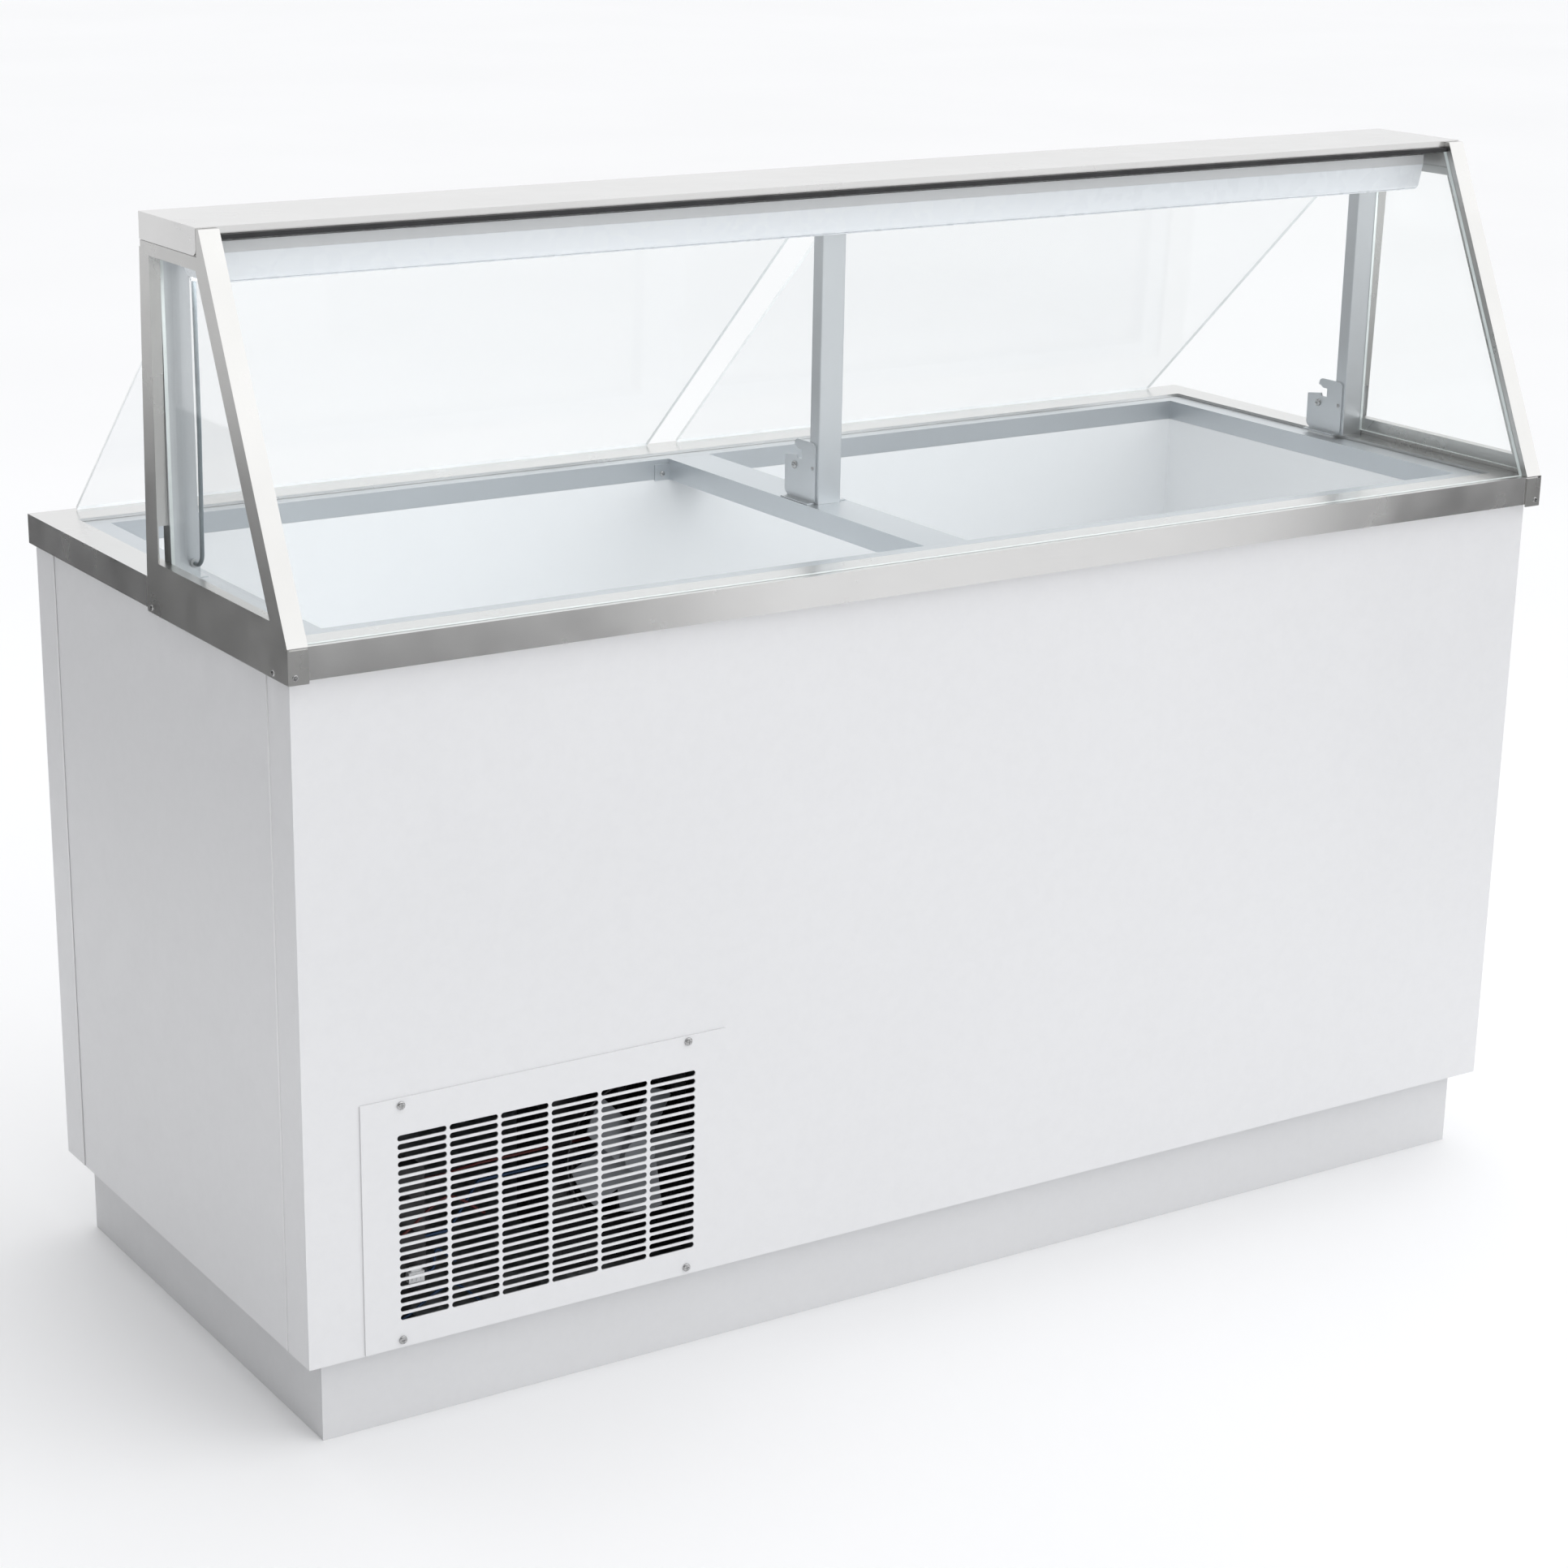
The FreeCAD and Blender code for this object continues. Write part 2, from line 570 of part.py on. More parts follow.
def electrical_box():
    """Junction box with connector blocks on its front."""
    x0, x1 = ELECTRIC_X
    y0, y1 = ELECTRIC_Y
    z0, z1 = ELECTRIC_Z
    case = box(x0, x1, y0 + 14, y1, z0, z1)
    case = case.makeFillet(4, [e for e in case.Edges if abs(e.tangentAt(e.FirstParameter).y) > 0.9])
    blocks = [box(x, x + 22, y0, y0 + 15, z, z + 14) for x in (x0 + 10, x0 + 46) for z in (176, 214, 252)]
    bracket = box(x0 + 8, x1 - 8, y1 - 6, y1 - 3, PAN_TOP + FIT, z0 + 4)
    foot = box(x0 + 8, x1 - 8, y1 - 26, y1 - 3, PAN_TOP + FIT, PAN_TOP + FIT + 1.5)
    return case.fuse(blocks + [bracket, foot]).removeSplitter()


def wire(z, y, end_z):
    """One insulated wire from the junction box, through the shroud's side, to the fan motor's can."""
    start = ELECTRIC_X[1] + 0.3
    return bent_tube([(start, y, z), (start + 34, y, z), (start + 95, WIRE_Y, end_z),
                      (FAN_X - MOTOR_RADIUS - 0.5, WIRE_Y, end_z)], 12.0, WIRE_RADIUS)


# ---- vents --------------------------------------------------------------------------------------
VENT_SHEET = 1.5


def vent_cover():
    back = BODY_FRONT - FIT
    plate = box(VENT_LEFT, VENT_RIGHT, back - VENT_SHEET, back, VENT_BOTTOM, VENT_TOP)
    slots = slot_field(SLOT_FIRST_X, SLOT_FIRST_Z, SLOT_COLUMNS, SLOT_ROWS, back - 2 * VENT_SHEET, back + 1)
    return plate.cut(slots)


def front_vent_screws():
    y = BODY_FRONT - FIT - VENT_SHEET
    return group([pan_head_screw((x, y, z), (0, -1, 0)) for x, z in VENT_SCREWS])


REAR_SLOT_COLUMNS = 4
REAR_SLOT_ROWS = 12


def rear_vent_cover():
    plate = box(REAR_VENT_X[0], REAR_VENT_X[1], BODY_REAR + FIT, BODY_REAR + FIT + VENT_SHEET,
                REAR_VENT_Z[0], REAR_VENT_Z[1])
    middle = (REAR_VENT_X[0] + REAR_VENT_X[1]) / 2
    first_x = middle - SLOT_PITCH_X * (REAR_SLOT_COLUMNS - 1) / 2
    first_z = (REAR_VENT_Z[0] + REAR_VENT_Z[1]) / 2 - SLOT_PITCH_Z * (REAR_SLOT_ROWS - 1) / 2
    slots = slot_field(first_x, first_z, REAR_SLOT_COLUMNS, REAR_SLOT_ROWS, BODY_REAR - 1, BODY_REAR + 3)
    return plate.cut(slots)


def rear_vent_screws():
    y = BODY_REAR + FIT + VENT_SHEET
    places = [(x, z) for x in (REAR_VENT_X[0] + SCREW_INSET, REAR_VENT_X[1] - SCREW_INSET)
              for z in (REAR_VENT_Z[0] + SCREW_INSET, REAR_VENT_Z[1] - SCREW_INSET)]
    return group([pan_head_screw((x, y, z), (0, 1, 0)) for x, z in places])


# ---- controls -----------------------------------------------------------------------------------
CONTROL_FACE = BODY_REAR - 24.0
KNOB_X = -640.0
SWITCH_X = (-560.0, -515.0)
GLAND_X = -465.0
CONTROL_MID = (CONTROL_Z[0] + CONTROL_Z[1]) / 2
KNOB_SHAFT = 3.0
KNOB_HOLE = 5.0
GLAND_HOLE = 8.3
PAN_LIP = 8.0
BEZEL_HALF = (11.0, 14.0)
BEZEL_FLANGE = 2.5
ROCKER_HALF = (9.0, 12.0)
ROCKER_PIN = 1.5


def control_pan():
    """Pocket let into the rear panel, holding the thermostat, the switches and the mains gland."""
    x0, x1 = CONTROL_X[0] + FIT, CONTROL_X[1] - FIT
    z0, z1 = CONTROL_Z[0] + FIT, CONTROL_Z[1] - FIT
    t = SHEET
    rim = BODY_REAR + FIT + t
    outer = box(x0, x1, CONTROL_FACE - t, rim, z0, z1)
    hollow = box(x0 + t, x1 - t, CONTROL_FACE, rim + 1, z0 + t, z1 - t)
    lip = box(x0 - PAN_LIP, x1 + PAN_LIP, BODY_REAR + FIT, rim, z0 - PAN_LIP, z1 + PAN_LIP)
    before = CONTROL_FACE - 5
    cuts = [rod((KNOB_X, before, CONTROL_MID), (0, 1, 0), KNOB_HOLE, 10),
            rod((GLAND_X, before, CONTROL_MID), (0, 1, 0), GLAND_HOLE, 10)]
    for x in SWITCH_X:
        w, h = BEZEL_HALF[0] + 0.3, BEZEL_HALF[1] + 0.3
        cuts.append(box(x - w, x + w, before, before + 10, CONTROL_MID - h, CONTROL_MID + h))
    return outer.fuse(lip).cut([hollow] + cuts).removeSplitter()


def thermostat():
    """Control body behind the pocket, with its shaft."""
    body = box(KNOB_X - 22, KNOB_X + 22, CONTROL_FACE - 32, CONTROL_FACE - SHEET - FIT,
               CONTROL_MID - 20, CONTROL_MID + 20)
    shaft = rod((KNOB_X, CONTROL_FACE - 4, CONTROL_MID), (0, 1, 0), KNOB_SHAFT, 16)
    return body.fuse(shaft).removeSplitter()


def thermostat_knob():
    """Round knob with a raised pointer bar."""
    foot = CONTROL_FACE + 0.6
    skirt = rod((KNOB_X, foot, CONTROL_MID), (0, 1, 0), 19, 5)
    grip = rod((KNOB_X, foot, CONTROL_MID), (0, 1, 0), 14, 16)
    rims = [e for e in grip.Edges if e.CenterOfMass.y > foot + 15 and isinstance(e.Curve, Part.Circle)]
    grip = grip.makeFillet(2, rims)
    bar = box(KNOB_X - 2.5, KNOB_X + 2.5, CONTROL_FACE + 5, CONTROL_FACE + 19,
              CONTROL_MID - 12, CONTROL_MID + 17)
    bore = rod((KNOB_X, CONTROL_FACE - 1, CONTROL_MID), (0, 1, 0), KNOB_SHAFT + 0.06, 13.5)
    return skirt.fuse([grip, bar]).cut(bore).removeSplitter()


def switch_bezel(x):
    """Rectangular frame with the rocker's two pivot studs inside it."""
    w, h = ROCKER_HALF
    bw, bh = BEZEL_HALF
    body = box(x - bw, x + bw, CONTROL_FACE - 22, CONTROL_FACE + 1, CONTROL_MID - bh, CONTROL_MID + bh)
    fw, fh = bw + BEZEL_FLANGE, bh + BEZEL_FLANGE
    flange = box(x - fw, x + fw, CONTROL_FACE + FIT, CONTROL_FACE + 2.2, CONTROL_MID - fh, CONTROL_MID + fh)
    ww, wh = w + 0.5, h + 0.8
    well = box(x - ww, x + ww, CONTROL_FACE - 14, CONTROL_FACE + 3, CONTROL_MID - wh, CONTROL_MID + wh)
    shell = body.fuse(flange).cut(well)
    studs = [rod((x - w - 1, CONTROL_FACE - 2, CONTROL_MID), (1, 0, 0), ROCKER_PIN, 3.0),
             rod((x + w + 1, CONTROL_FACE - 2, CONTROL_MID), (-1, 0, 0), ROCKER_PIN, 3.0)]
    return shell.fuse(studs).removeSplitter()


def switch_rocker(x):
    """Rocker pressed in at its lower half, shallow V on its face."""
    w, h = ROCKER_HALF
    face = CONTROL_FACE + 2.6
    back = CONTROL_FACE - 7
    outline = [(back, CONTROL_MID - 7), (face - 0.4, CONTROL_MID - h + 0.4), (face - 2.2, CONTROL_MID),
               (face + 1.2, CONTROL_MID + h - 0.4), (back, CONTROL_MID + 7)]
    body = prism_x(outline, x - w, x + w)
    bores = [rod((x - w - 1, CONTROL_FACE - 2, CONTROL_MID), (1, 0, 0), ROCKER_PIN + 0.06, 3.2),
             rod((x + w + 1, CONTROL_FACE - 2, CONTROL_MID), (-1, 0, 0), ROCKER_PIN + 0.06, 3.2)]
    return body.cut(bores)


def mains_gland():
    """Ribbed bush that the mains lead would leave by."""
    start = (GLAND_X, CONTROL_FACE - 8, CONTROL_MID)
    body = rod(start, (0, 1, 0), 8, 12)
    flange = rod((GLAND_X, CONTROL_FACE + FIT, CONTROL_MID), (0, 1, 0), 11, 4)
    nose = Part.makeCone(8, 6, 12, V(GLAND_X, CONTROL_FACE + 4, CONTROL_MID), V(0, 1, 0))
    bore = rod((GLAND_X, CONTROL_FACE - 10, CONTROL_MID), (0, 1, 0), 4, 40)
    return body.fuse([flange, nose]).cut(bore).removeSplitter()


# ---- counter ------------------------------------------------------------------------------------
def front_rail():
    """Rolled stainless edge along the customer's side."""
    t = SHEET
    inner = LEDGE_FRONT - 0.4
    outline = [
        (BODY_FRONT - 1, COUNTER_UNDER), (COUNTER_FRONT, COUNTER_UNDER), (COUNTER_FRONT, COUNTER_TOP),
        (inner, COUNTER_TOP), (inner, LEDGE_TOP + FIT), (inner - t, LEDGE_TOP + FIT),
        (inner - t, COUNTER_TOP - t), (COUNTER_FRONT + t, COUNTER_TOP - t),
        (COUNTER_FRONT + t, COUNTER_UNDER + t), (BODY_FRONT - 1, COUNTER_UNDER + t),
    ]
    return prism_x(outline, -COUNTER_X + FIT, COUNTER_X - FIT)


def counter_rim():
    """Rolled stainless edge along the left, the rear and the right, welded at the corners."""
    t = SHEET
    start = LEDGE_FRONT - FIT
    x, y = COUNTER_X, HALF_DEPTH
    outer = box(-x, x, start, y, COUNTER_UNDER, COUNTER_TOP)
    hollow = box(-x + t, x - t, start - 1, y - t, COUNTER_UNDER + t, COUNTER_TOP - t)
    edge_x, edge_y = LEDGE_X + PANEL_GAP, LEDGE_REAR + PANEL_GAP
    top_cut = box(-edge_x, edge_x, start - 1, edge_y, LEDGE_TOP, COUNTER_TOP + 1)
    body_x, body_y = BODY_X + PANEL_GAP, BODY_REAR + PANEL_GAP
    under_cut = box(-body_x, body_x, start - 1, body_y, COUNTER_UNDER - 1, COUNTER_UNDER + 2 * t)
    lip = box(-edge_x - t, edge_x + t, start, edge_y + t, LEDGE_TOP + FIT, COUNTER_TOP)
    lip = lip.cut(box(-edge_x, edge_x, start - 1, edge_y, LEDGE_TOP, COUNTER_TOP + 1))
    return outer.cut([hollow, top_cut, under_cut]).fuse(lip).removeSplitter()


def tank_collar():
    """Sunken stainless ledge round the tank, with walls down to the liner."""
    t = SHEET
    ledge = box(-LEDGE_X, LEDGE_X, LEDGE_FRONT, LEDGE_REAR, LEDGE_TOP - t, LEDGE_TOP)
    wall = box(-WELL_X - t, WELL_X + t, -WELL_Y - t, WELL_Y + t, COLLAR_BOTTOM + FIT, LEDGE_TOP)
    mouth = box(-WELL_X, WELL_X, -WELL_Y, WELL_Y, COLLAR_BOTTOM - 1, LEDGE_TOP + 1)
    return ledge.fuse(wall).cut(mouth).removeSplitter()


DIVIDER_BOTTOM = 906.5
DIVIDER_TAB = 22.0


def divider_beam():
    """Inverted channel across the tank's mouth, with a screw tab at each corner."""
    t = SHEET
    end = WELL_Y - FIT
    beam = box(-DIVIDER_HALF, DIVIDER_HALF, -end, end, DIVIDER_BOTTOM, LEDGE_TOP)
    hollow = box(-DIVIDER_HALF + t, DIVIDER_HALF - t, -end - 1, end + 1, DIVIDER_BOTTOM - 1, LEDGE_TOP - t)
    shape = beam.cut(hollow)
    for sx in (-1, 1):
        for sy in (-1, 1):
            x0, x1 = sorted((sx * (DIVIDER_HALF - t), sx * (DIVIDER_HALF + DIVIDER_TAB)))
            y0, y1 = sorted((sy * end, sy * (end - t)))
            shape = shape.fuse(box(x0, x1, y0, y1, DIVIDER_BOTTOM, LEDGE_TOP - 6))
    return shape.removeSplitter()


def divider_screws():
    screws = []
    for sx in (-1, 1):
        for sy in (-1, 1):
            tip = (sx * (DIVIDER_HALF + DIVIDER_TAB / 2), sy * (WELL_Y - FIT - SHEET), DIVIDER_BOTTOM + 9)
            screws.append(pan_head_screw(tip, (0, -sy, 0), head_radius=3.5))
    return group(screws)


# ---- guard --------------------------------------------------------------------------------------
def end_frame_right():
    """Glazed end frame: members above the counter, flush with the canopy and with the skirt over its edge."""
    inner = HALF_WIDTH - FRAME_THICK
    skin = COUNTER_X + FIT
    outer_face = HALF_WIDTH - SHEET - FIT
    top = HEIGHT - SHEET - FIT
    base = COUNTER_TOP + FIT
    back = CANOPY_REAR - SHEET - FIT
    step = CANOPY_SKIRT - FRAME_STEP
    upper = [(slope_y(base), base), (slope_y(top), top), (back, top), (back, step),
             (frame_rear_y(step), step), (frame_rear_y(base), base)]
    plate = prism_x(upper, inner, outer_face)
    rear_low = POST_FRONT + 6
    rear_high = rear_low - 8
    window = [(rear_low, SILL_TOP), (slope_y(SILL_TOP, SLOPE_DEPTH), SILL_TOP),
              (slope_y(WINDOW_TOP, SLOPE_DEPTH), WINDOW_TOP), (rear_high, WINDOW_TOP)]
    rebate = [(rear_low - 1, SILL_TOP), (rear_low - 1, WINDOW_TOP),
              (frame_rear_y(WINDOW_TOP) - FRAME_FOLD, WINDOW_TOP), (frame_rear_y(SILL_TOP) - FRAME_FOLD, SILL_TOP)]
    seam_y, seam_z = CANOPY_FRONT - CANOPY_SEAM, CANOPY_SKIRT - CANOPY_SEAM
    flush = prism_x([(slope_y(base), base), (slope_y(top), top), (seam_y, top), (seam_y, seam_z), (back, seam_z),
                     (back, step), (frame_rear_y(step), step), (frame_rear_y(base), base)],
                    outer_face - 1, HALF_WIDTH)
    plate = plate.fuse(flush).cut([prism_x(window, inner - 5, HALF_WIDTH + 5),
                                   prism_x(rebate, inner - 5, HALF_WIDTH - FRAME_FOLD)])
    member = [(slope_y(base), base), (slope_y(top), top), (slope_y(top, SLOPE_RETURN), top),
              (slope_y(base, SLOPE_RETURN), base)]
    sloped = prism_x(member, HALF_WIDTH - SLOPE_WIDTH, inner)
    skirt = box(skin, HALF_WIDTH, FRAME_FRONT, FRAME_REAR_FOOT, SKIRT_BOTTOM, base)
    front = box(HALF_WIDTH - SLOPE_WIDTH, HALF_WIDTH, FRAME_FRONT, COUNTER_FRONT - FIT,
                SKIRT_BOTTOM, SLOPE_FOOT[1])
    return plate.fuse([sloped, skirt, front]).removeSplitter()


def end_frame_left():
    return mirror_x(end_frame_right())


GLASS = 4.0
FRONT_GLASS = 5.0
GASKET_HEIGHT = 5.0


def side_glass_right():
    """Pane bonded behind the end frame's window, ahead of the post."""
    outer = HALF_WIDTH - FRAME_THICK - 0.1
    low = COUNTER_TOP + 6
    high = WINDOW_TOP + 10
    rear = POST_FRONT - 0.5
    inset = SLOPE_RETURN + 0.4
    outline = [(rear, low), (slope_y(low, inset), low), (slope_y(high, inset), high), (rear, high)]
    return prism_x(outline, outer - GLASS, outer)


def side_glass_left():
    return mirror_x(side_glass_right())


def post(x_middle, foot):
    """Upright of square tube, up to the canopy."""
    w = POST_WIDTH / 2
    top = HEIGHT - SHEET - FIT
    t = 1.5
    outer = box(x_middle - w, x_middle + w, POST_FRONT, POST_REAR, foot, top)
    corners = [e for e in outer.Edges if abs(e.tangentAt(e.FirstParameter).z) > 0.9]
    outer = outer.makeFillet(1.5, corners)
    hollow = box(x_middle - w + t, x_middle + w - t, POST_FRONT + t, POST_REAR - t, foot - 1, top + 1)
    return outer.cut(hollow)


SIDE_POST_X = SIDE_POST_OUTER - POST_WIDTH / 2
HOOK_SHEET = 2.0


def hook_bracket(x_face, side):
    """Plate on a post's face with a hooked slot for a lid stay; `side` is the way the face looks."""
    x0, x1 = sorted((x_face, x_face + side * HOOK_SHEET))
    foot_z = LEDGE_TOP + 0.2 if abs(x_face) < 100 else COUNTER_TOP + 0.2
    low = foot_z + 3
    arc_top = 1010.0
    plate = box(x0, x1, POST_FRONT + 4, 30, low, arc_top)
    profile_cut = prism_x([(31, 985), (31, 1011), (8, 1011), (9, 1000)], x0 - 1, x1 + 1)
    slot = [(-8, 986), (2, 986), (4, 990), (31, 986), (31, 1000), (6, 1001), (0, 997.5), (-8, 997.5)]
    plate = plate.cut([profile_cut, prism_x(slot, x0 - 1, x1 + 1)])
    edges = [e for e in plate.Edges if abs(e.tangentAt(e.FirstParameter).x) > 0.9
             and (e.CenterOfMass.y > 25 and e.CenterOfMass.z < 980 or e.CenterOfMass.z > 1008)]
    plate = plate.makeFillet(7, edges)
    foot_x0, foot_x1 = sorted((x_face, x_face + side * 12.0))
    foot = box(foot_x0, foot_x1, POST_FRONT + 6, 24, foot_z, foot_z + 1.5)
    web = box(x0, x1, POST_FRONT + 6, 24, foot_z, low + 1)
    return plate.fuse([foot, web]).removeSplitter()


def hook_screws():
    """A large and a small screw through each bracket's plate."""
    screws = []
    for x_face, side in hook_faces():
        x = x_face + side * HOOK_SHEET
        screws.append(pan_head_screw((x, 8, 976), (side, 0, 0)))
        screws.append(pan_head_screw((x, POST_FRONT + 10, 978), (side, 0, 0), head_radius=2.4, head_height=1.4))
    return group(screws)


def hook_faces():
    inner = SIDE_POST_OUTER - POST_WIDTH
    return [(-inner, 1), (-POST_WIDTH / 2, -1), (POST_WIDTH / 2, 1), (inner, -1)]


def canopy():
    """Folded stainless roof with a skirt at the rear and the ends and a short lip in front."""
    t = SHEET
    x = HALF_WIDTH - t
    floor = CANOPY_SKIRT - 1
    lip_back = CANOPY_FRONT + t + 1
    outer = box(-HALF_WIDTH, HALF_WIDTH, CANOPY_FRONT, CANOPY_REAR, CANOPY_SKIRT, HEIGHT)
    hollow = box(-x, x, CANOPY_FRONT + t, CANOPY_REAR - t, floor, HEIGHT - t)
    mouth = box(-x, x, CANOPY_FRONT - 1, lip_back, floor, HEIGHT - CANOPY_LIP)
    corners = [e for e in outer.Edges if abs(e.tangentAt(e.FirstParameter).x) > 0.9
               and e.CenterOfMass.y < CANOPY_FRONT + t and e.CenterOfMass.z < HEIGHT - t]
    outer = outer.makeFillet(9, corners)
    lip_end = HALF_WIDTH - SLOPE_WIDTH - PANEL_GAP
    ends = [box(-x, -lip_end, CANOPY_FRONT - 1, lip_back, floor, HEIGHT - t),
            box(lip_end, x, CANOPY_FRONT - 1, lip_back, floor, HEIGHT - t)]
    return outer.cut([hollow, mouth] + ends).removeSplitter()


def front_gasket():
    """Black rubber strip between the canopy's front lip and the glass."""
    top = HEIGHT - CANOPY_LIP - FIT
    foot = top - GASKET_HEIGHT
    x = HALF_WIDTH - SLOPE_WIDTH - PANEL_GAP
    outline = [(slope_y(foot, 6.0), foot), (slope_y(foot, 16.0), foot),
               (CANOPY_FRONT + 6, top), (slope_y(top, 4.0), top)]
    return prism_x(outline, -x, x)


def front_glass():
    """Sloped pane between the end frames, from the counter's front rail to the canopy."""
    low = COUNTER_TOP + 0.3
    high = HEIGHT - CANOPY_LIP - FIT - GASKET_HEIGHT - 0.3
    x = HALF_WIDTH - SLOPE_WIDTH - PANEL_GAP
    outer, inner = 8.0, 8.0 + FRONT_GLASS
    outline = [(slope_y(low, outer), low), (slope_y(low, inner), low),
               (slope_y(high, inner), high), (slope_y(high, outer), high)]
    return prism_x(outline, -x, x)


def light_housing():
    """White channel that hangs from the canopy on three tabs and closes the diffuser's top."""
    t = SHEET
    skirt = LIGHT_TOP - HOUSING_SKIRT
    roof = HEIGHT - t - FIT
    outer = box(-LIGHT_X, LIGHT_X, LIGHT_FRONT, LIGHT_REAR, skirt, LIGHT_TOP)
    hollow = box(-LIGHT_X + t, LIGHT_X - t, LIGHT_FRONT + t, LIGHT_REAR - t, skirt - 1, LIGHT_TOP - t)
    tabs = []
    for x in (-600, 0, 600):
        y = LIGHT_REAR - 30
        tabs.append(box(x - 30, x + 30, y, y + t, LIGHT_TOP - 0.5, roof))
        tabs.append(box(x - 30, x + 30, y - 15, y + t, roof - t, roof))
    return outer.cut(hollow).fuse(tabs).removeSplitter()


def light_diffuser():
    """Opal trough with closed, tapered ends and rounded lower edges."""
    high = LIGHT_TOP - HOUSING_SKIRT - FIT
    wall = 2.0
    foot = LIGHT_X - 7.0
    outline = [(-foot, LIGHT_BOTTOM), (foot, LIGHT_BOTTOM), (LIGHT_X, high), (-LIGHT_X, high)]
    inner = [(-foot + wall, LIGHT_BOTTOM + wall), (foot - wall, LIGHT_BOTTOM + wall),
             (LIGHT_X - wall, high + 1), (-LIGHT_X + wall, high + 1)]
    outer = prism_y(outline, LIGHT_FRONT, LIGHT_REAR)
    edges = [e for e in outer.Edges if abs(e.tangentAt(e.FirstParameter).x) > 0.9
             and e.CenterOfMass.z < LIGHT_BOTTOM + 1]
    outer = outer.makeFillet(8, edges)
    return outer.cut(prism_y(inner, LIGHT_FRONT + wall, LIGHT_REAR - wall))


LAMP_Y = (LIGHT_FRONT + LIGHT_REAR) / 2
LAMP_Z = 1302.0
LAMP_HALF = 745.0
SOCKET = 22.0


def lamp_tube():
    return rod((-LAMP_HALF, LAMP_Y, LAMP_Z), (1, 0, 0), 8.0, 2 * LAMP_HALF)


def lamp_socket(side):
    """Lamp holder hung from the housing's roof."""
    x0, x1 = sorted((side * (LAMP_HALF + 0.3), side * (LAMP_HALF + SOCKET)))
    body = box(x0, x1, LAMP_Y - 12, LAMP_Y + 12, LAMP_Z - 12, LIGHT_TOP - SHEET - FIT)
    edges = [e for e in body.Edges if abs(e.tangentAt(e.FirstParameter).x) > 0.9 and e.CenterOfMass.z < LAMP_Z]
    return body.makeFillet(6, edges)


CABLE_RADIUS = 2.5
CABLE_HOLE = CABLE_RADIUS + 0.1
CABLE_END_Z = 958.0
CABLE_BEND = 16.0
CABLE_KINK_Z = 1110.0       # where the lead starts to lean towards the post's foot
CABLE_LEAN = 5.0
CABLE_Y = LAMP_CABLE_Y - 6.0
CABLE_END_Y = POST_FRONT - 0.3
GLAND_RADIUS = 4.0
GLAND_FLANGE = 5.5
GLAND_HEIGHT = 5.0
GLAND_FLANGE_HEIGHT = 1.6
GROMMET_RADIUS = 5.0
GROMMET_THICK = 3.0


def lamp_gland():
    """Cable bush under the light box's left end."""
    up = (0, 0, 1)
    top = LIGHT_BOTTOM - FIT
    foot = LIGHT_BOTTOM - GLAND_HEIGHT
    flange_foot = LIGHT_BOTTOM - GLAND_FLANGE_HEIGHT
    neck = rod((LAMP_CABLE_X, CABLE_Y, foot), up, GLAND_RADIUS, top - foot)
    flange = rod((LAMP_CABLE_X, CABLE_Y, flange_foot), up, GLAND_FLANGE, top - flange_foot)
    hole = rod((LAMP_CABLE_X, CABLE_Y, foot - 1), up, CABLE_HOLE, top - foot + 2)
    return neck.fuse(flange).cut(hole)


def lamp_cable():
    """Round lead from the light box down beside the left post and into its foot."""
    route = [(LAMP_CABLE_X, CABLE_Y, LIGHT_BOTTOM - 0.4),
             (LAMP_CABLE_X, CABLE_Y, CABLE_KINK_Z),
             (LAMP_CABLE_X, CABLE_Y + CABLE_LEAN, CABLE_END_Z),
             (LAMP_CABLE_X, CABLE_END_Y, CABLE_END_Z)]
    return bent_tube(route, CABLE_BEND, CABLE_RADIUS)


def cable_grommet():
    """Rubber ring where the lead enters the left post."""
    start = (LAMP_CABLE_X, CABLE_END_Y, CABLE_END_Z)
    return ring(start, (0, -1, 0), GROMMET_RADIUS, CABLE_HOLE, GROMMET_THICK)


# ---- lids and their hinges ------------------------------------------------------------------------
CLIP_SHARES = (0.12, 0.5, 0.88)
KNUCKLE = 15.0
KNUCKLE_GAP = 0.5


def clip_centres(side):
    return [side * (LID_INNER + share * (LID_OUTER - LID_INNER)) for share in CLIP_SHARES]


def lid_pane(side):
    """Clear pane from under the canopy's rear edge down to the counter's rear rim."""
    x0, x1 = sorted((side * LID_INNER, side * LID_OUTER))
    half = LID_THICK / 2
    outline = [lid_point(-4, half), lid_point(LID_LENGTH, half),
               lid_point(LID_LENGTH, -half), lid_point(-4, -half)]
    return prism_x(outline, x0, x1)


def lid_clips(side):
    """Three clips bonded to the pane, each with a barrel on the hinge line."""
    clips = []
    low = LID_THICK / 2 + 0.1
    heel = low + 3.4
    outline = [lid_point(-3.5, low), lid_point(26, low), lid_point(26, low + 2), lid_point(4, heel),
               lid_point(-3.5, heel)]
    for x in clip_centres(side):
        x0 = x - CLIP_WIDTH / 2
        x1 = x + CLIP_WIDTH / 2
        barrel = rod((x0, HINGE_Y, HINGE_Z), (1, 0, 0), BARREL_RADIUS, CLIP_WIDTH)
        leaf = prism_x(outline, x0, x1)
        bore = rod((x0 - 1, HINGE_Y, HINGE_Z), (1, 0, 0), PIN_RADIUS + 0.06, CLIP_WIDTH + 2)
        clips.append(barrel.fuse(leaf).cut(bore).removeSplitter())
    return group(clips)


